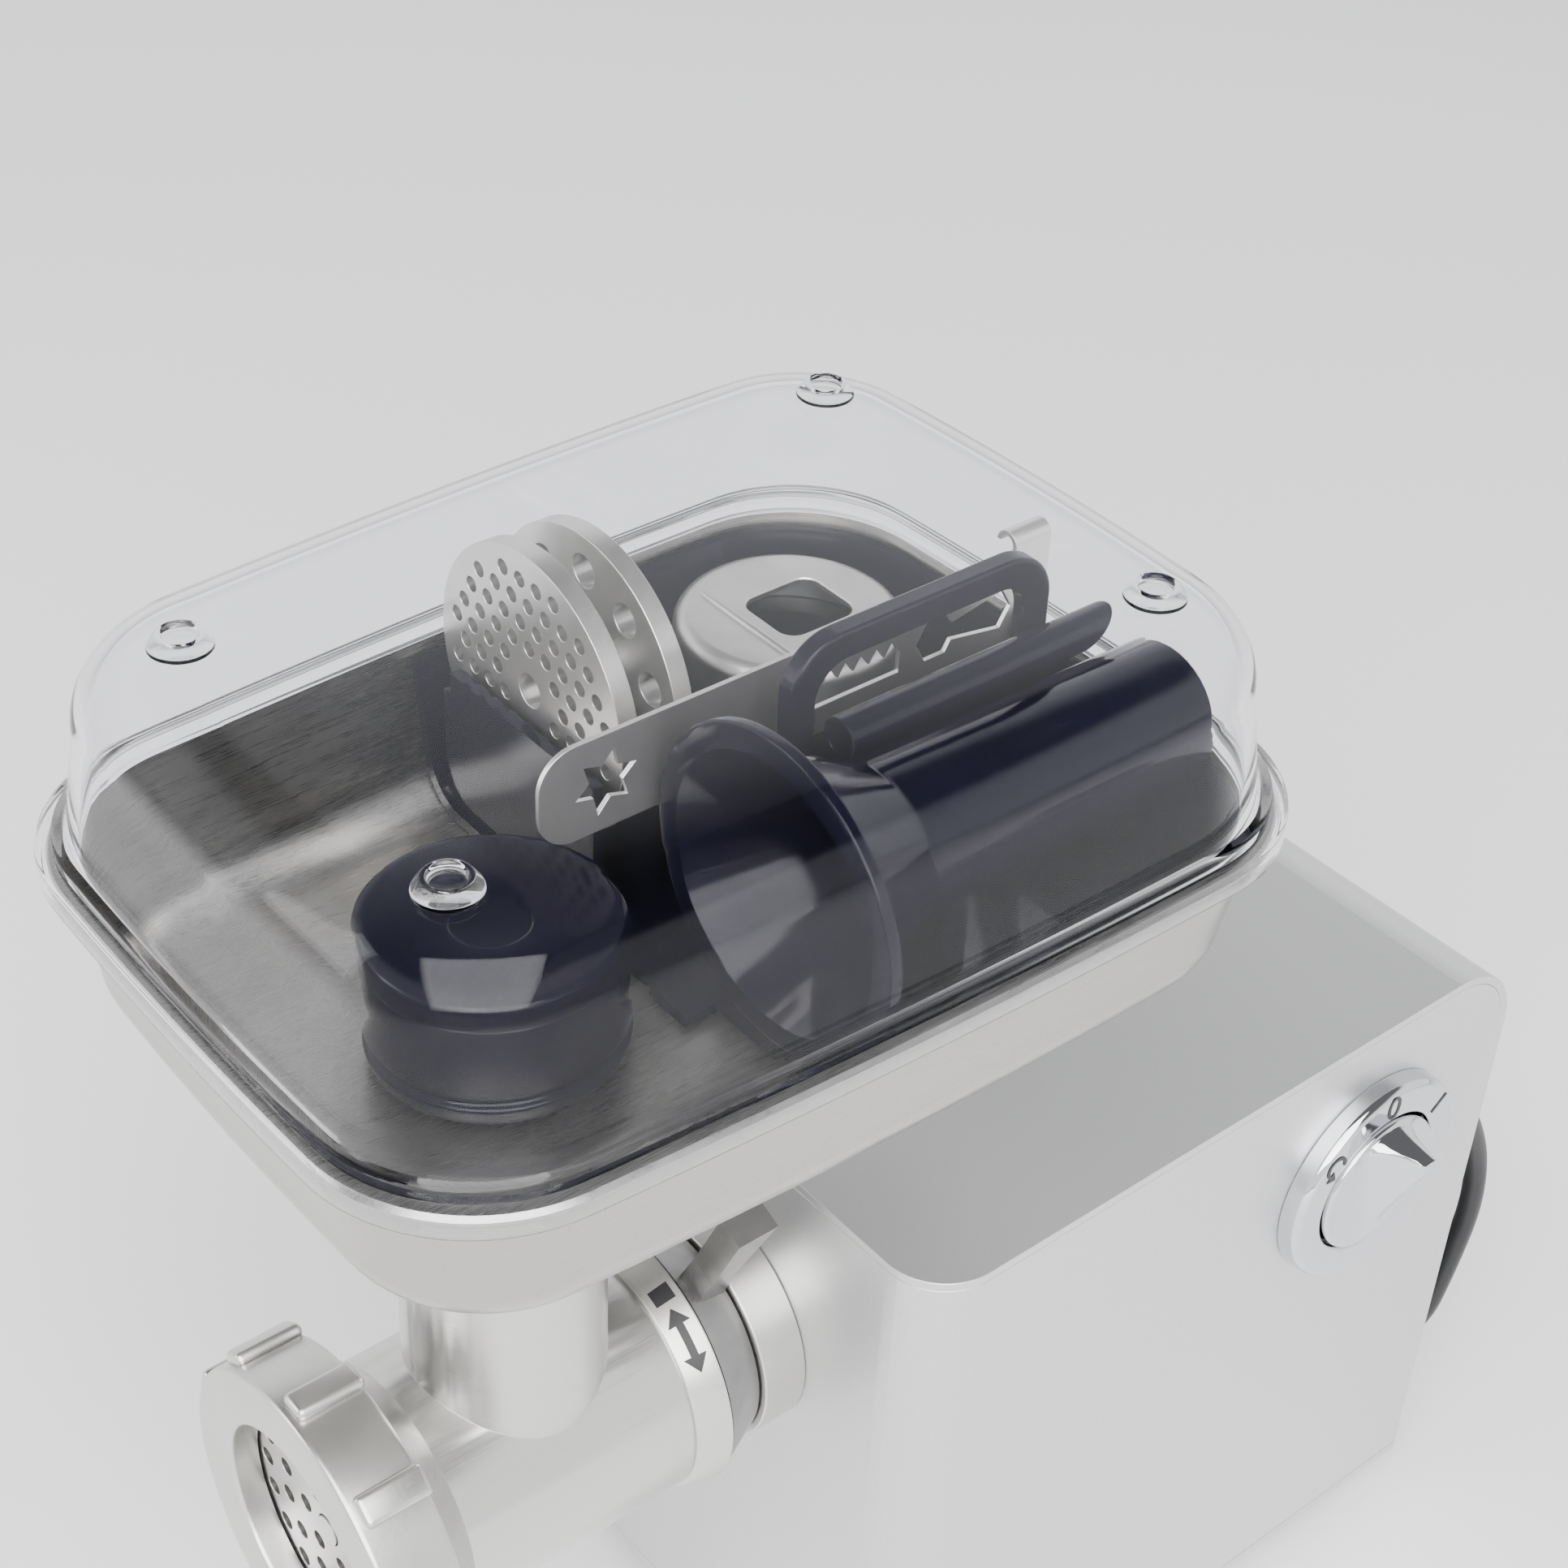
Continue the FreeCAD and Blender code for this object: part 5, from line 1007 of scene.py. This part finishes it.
# %% Floor, surround and lights
floor_mesh = bpy.data.meshes.new("floor")
FLOOR_HALF = 6.0
floor_corners = ((-1, -1), (1, -1), (1, 1), (-1, 1))
floor_mesh.from_pydata([(FLOOR_HALF * x, FLOOR_HALF * y, -0.0005) for x, y in floor_corners], [],
                       [(0, 1, 2, 3)])
floor = bpy.data.objects.new("floor", floor_mesh)
bpy.context.collection.objects.link(floor)
floor_paint, floor_tree, floor_shader, floor_where = start_material("pale_floor", "#F4F4F5", 0.0, 0.7)
tone(floor_tree, floor_shader, grain(floor_tree, floor_where, 900.0, detail=1.0), "#F0F0F1", "#F8F8F8")
floor_mesh.materials.append(floor_paint)

world = bpy.data.worlds.new("studio")
bpy.context.scene.world = world
world.use_nodes = True
sky = world.node_tree
direction = add_node(sky, "ShaderNodeTexCoord").outputs["Generated"]
height = add_node(sky, "ShaderNodeSeparateXYZ", {"Vector": direction}).outputs["Z"]
ramp = add_node(sky, "ShaderNodeMapRange", {"Value": height, "From Min": math.sin(math.radians(33)),
                                            "From Max": math.sin(math.radians(41)),
                                            "To Min": 1.9, "To Max": 0.22})
background = sky.nodes["Background"]
background.inputs["Color"].default_value = linear("#F5F6F8")
sky.links.new(ramp.outputs["Result"], background.inputs["Strength"])


def softbox(name, at, aim, width, depth, watts, hex_colour="#FFFFFF"):
    light = bpy.data.lights.new(name, "AREA")
    light.shape, light.size, light.size_y, light.energy = "RECTANGLE", width, depth, watts
    light.color = linear(hex_colour)[:3]
    box = bpy.data.objects.new(name, light)
    box.location = at
    box.rotation_euler = (Vector(aim) - Vector(at)).to_track_quat("-Z", "Y").to_euler()
    bpy.context.collection.objects.link(box)
    return box


LID_CENTRE = place(0, 0, 340)
softbox("left_softbox", (-1.5, 0.9, 0.9), LID_CENTRE, 0.5, 1.2, 10)
softbox("top_softbox", (-1.2, -1.6, 2.2), (0, 0, 0.2), 3.0, 3.0, 240)
print("floor, surround and two softboxes")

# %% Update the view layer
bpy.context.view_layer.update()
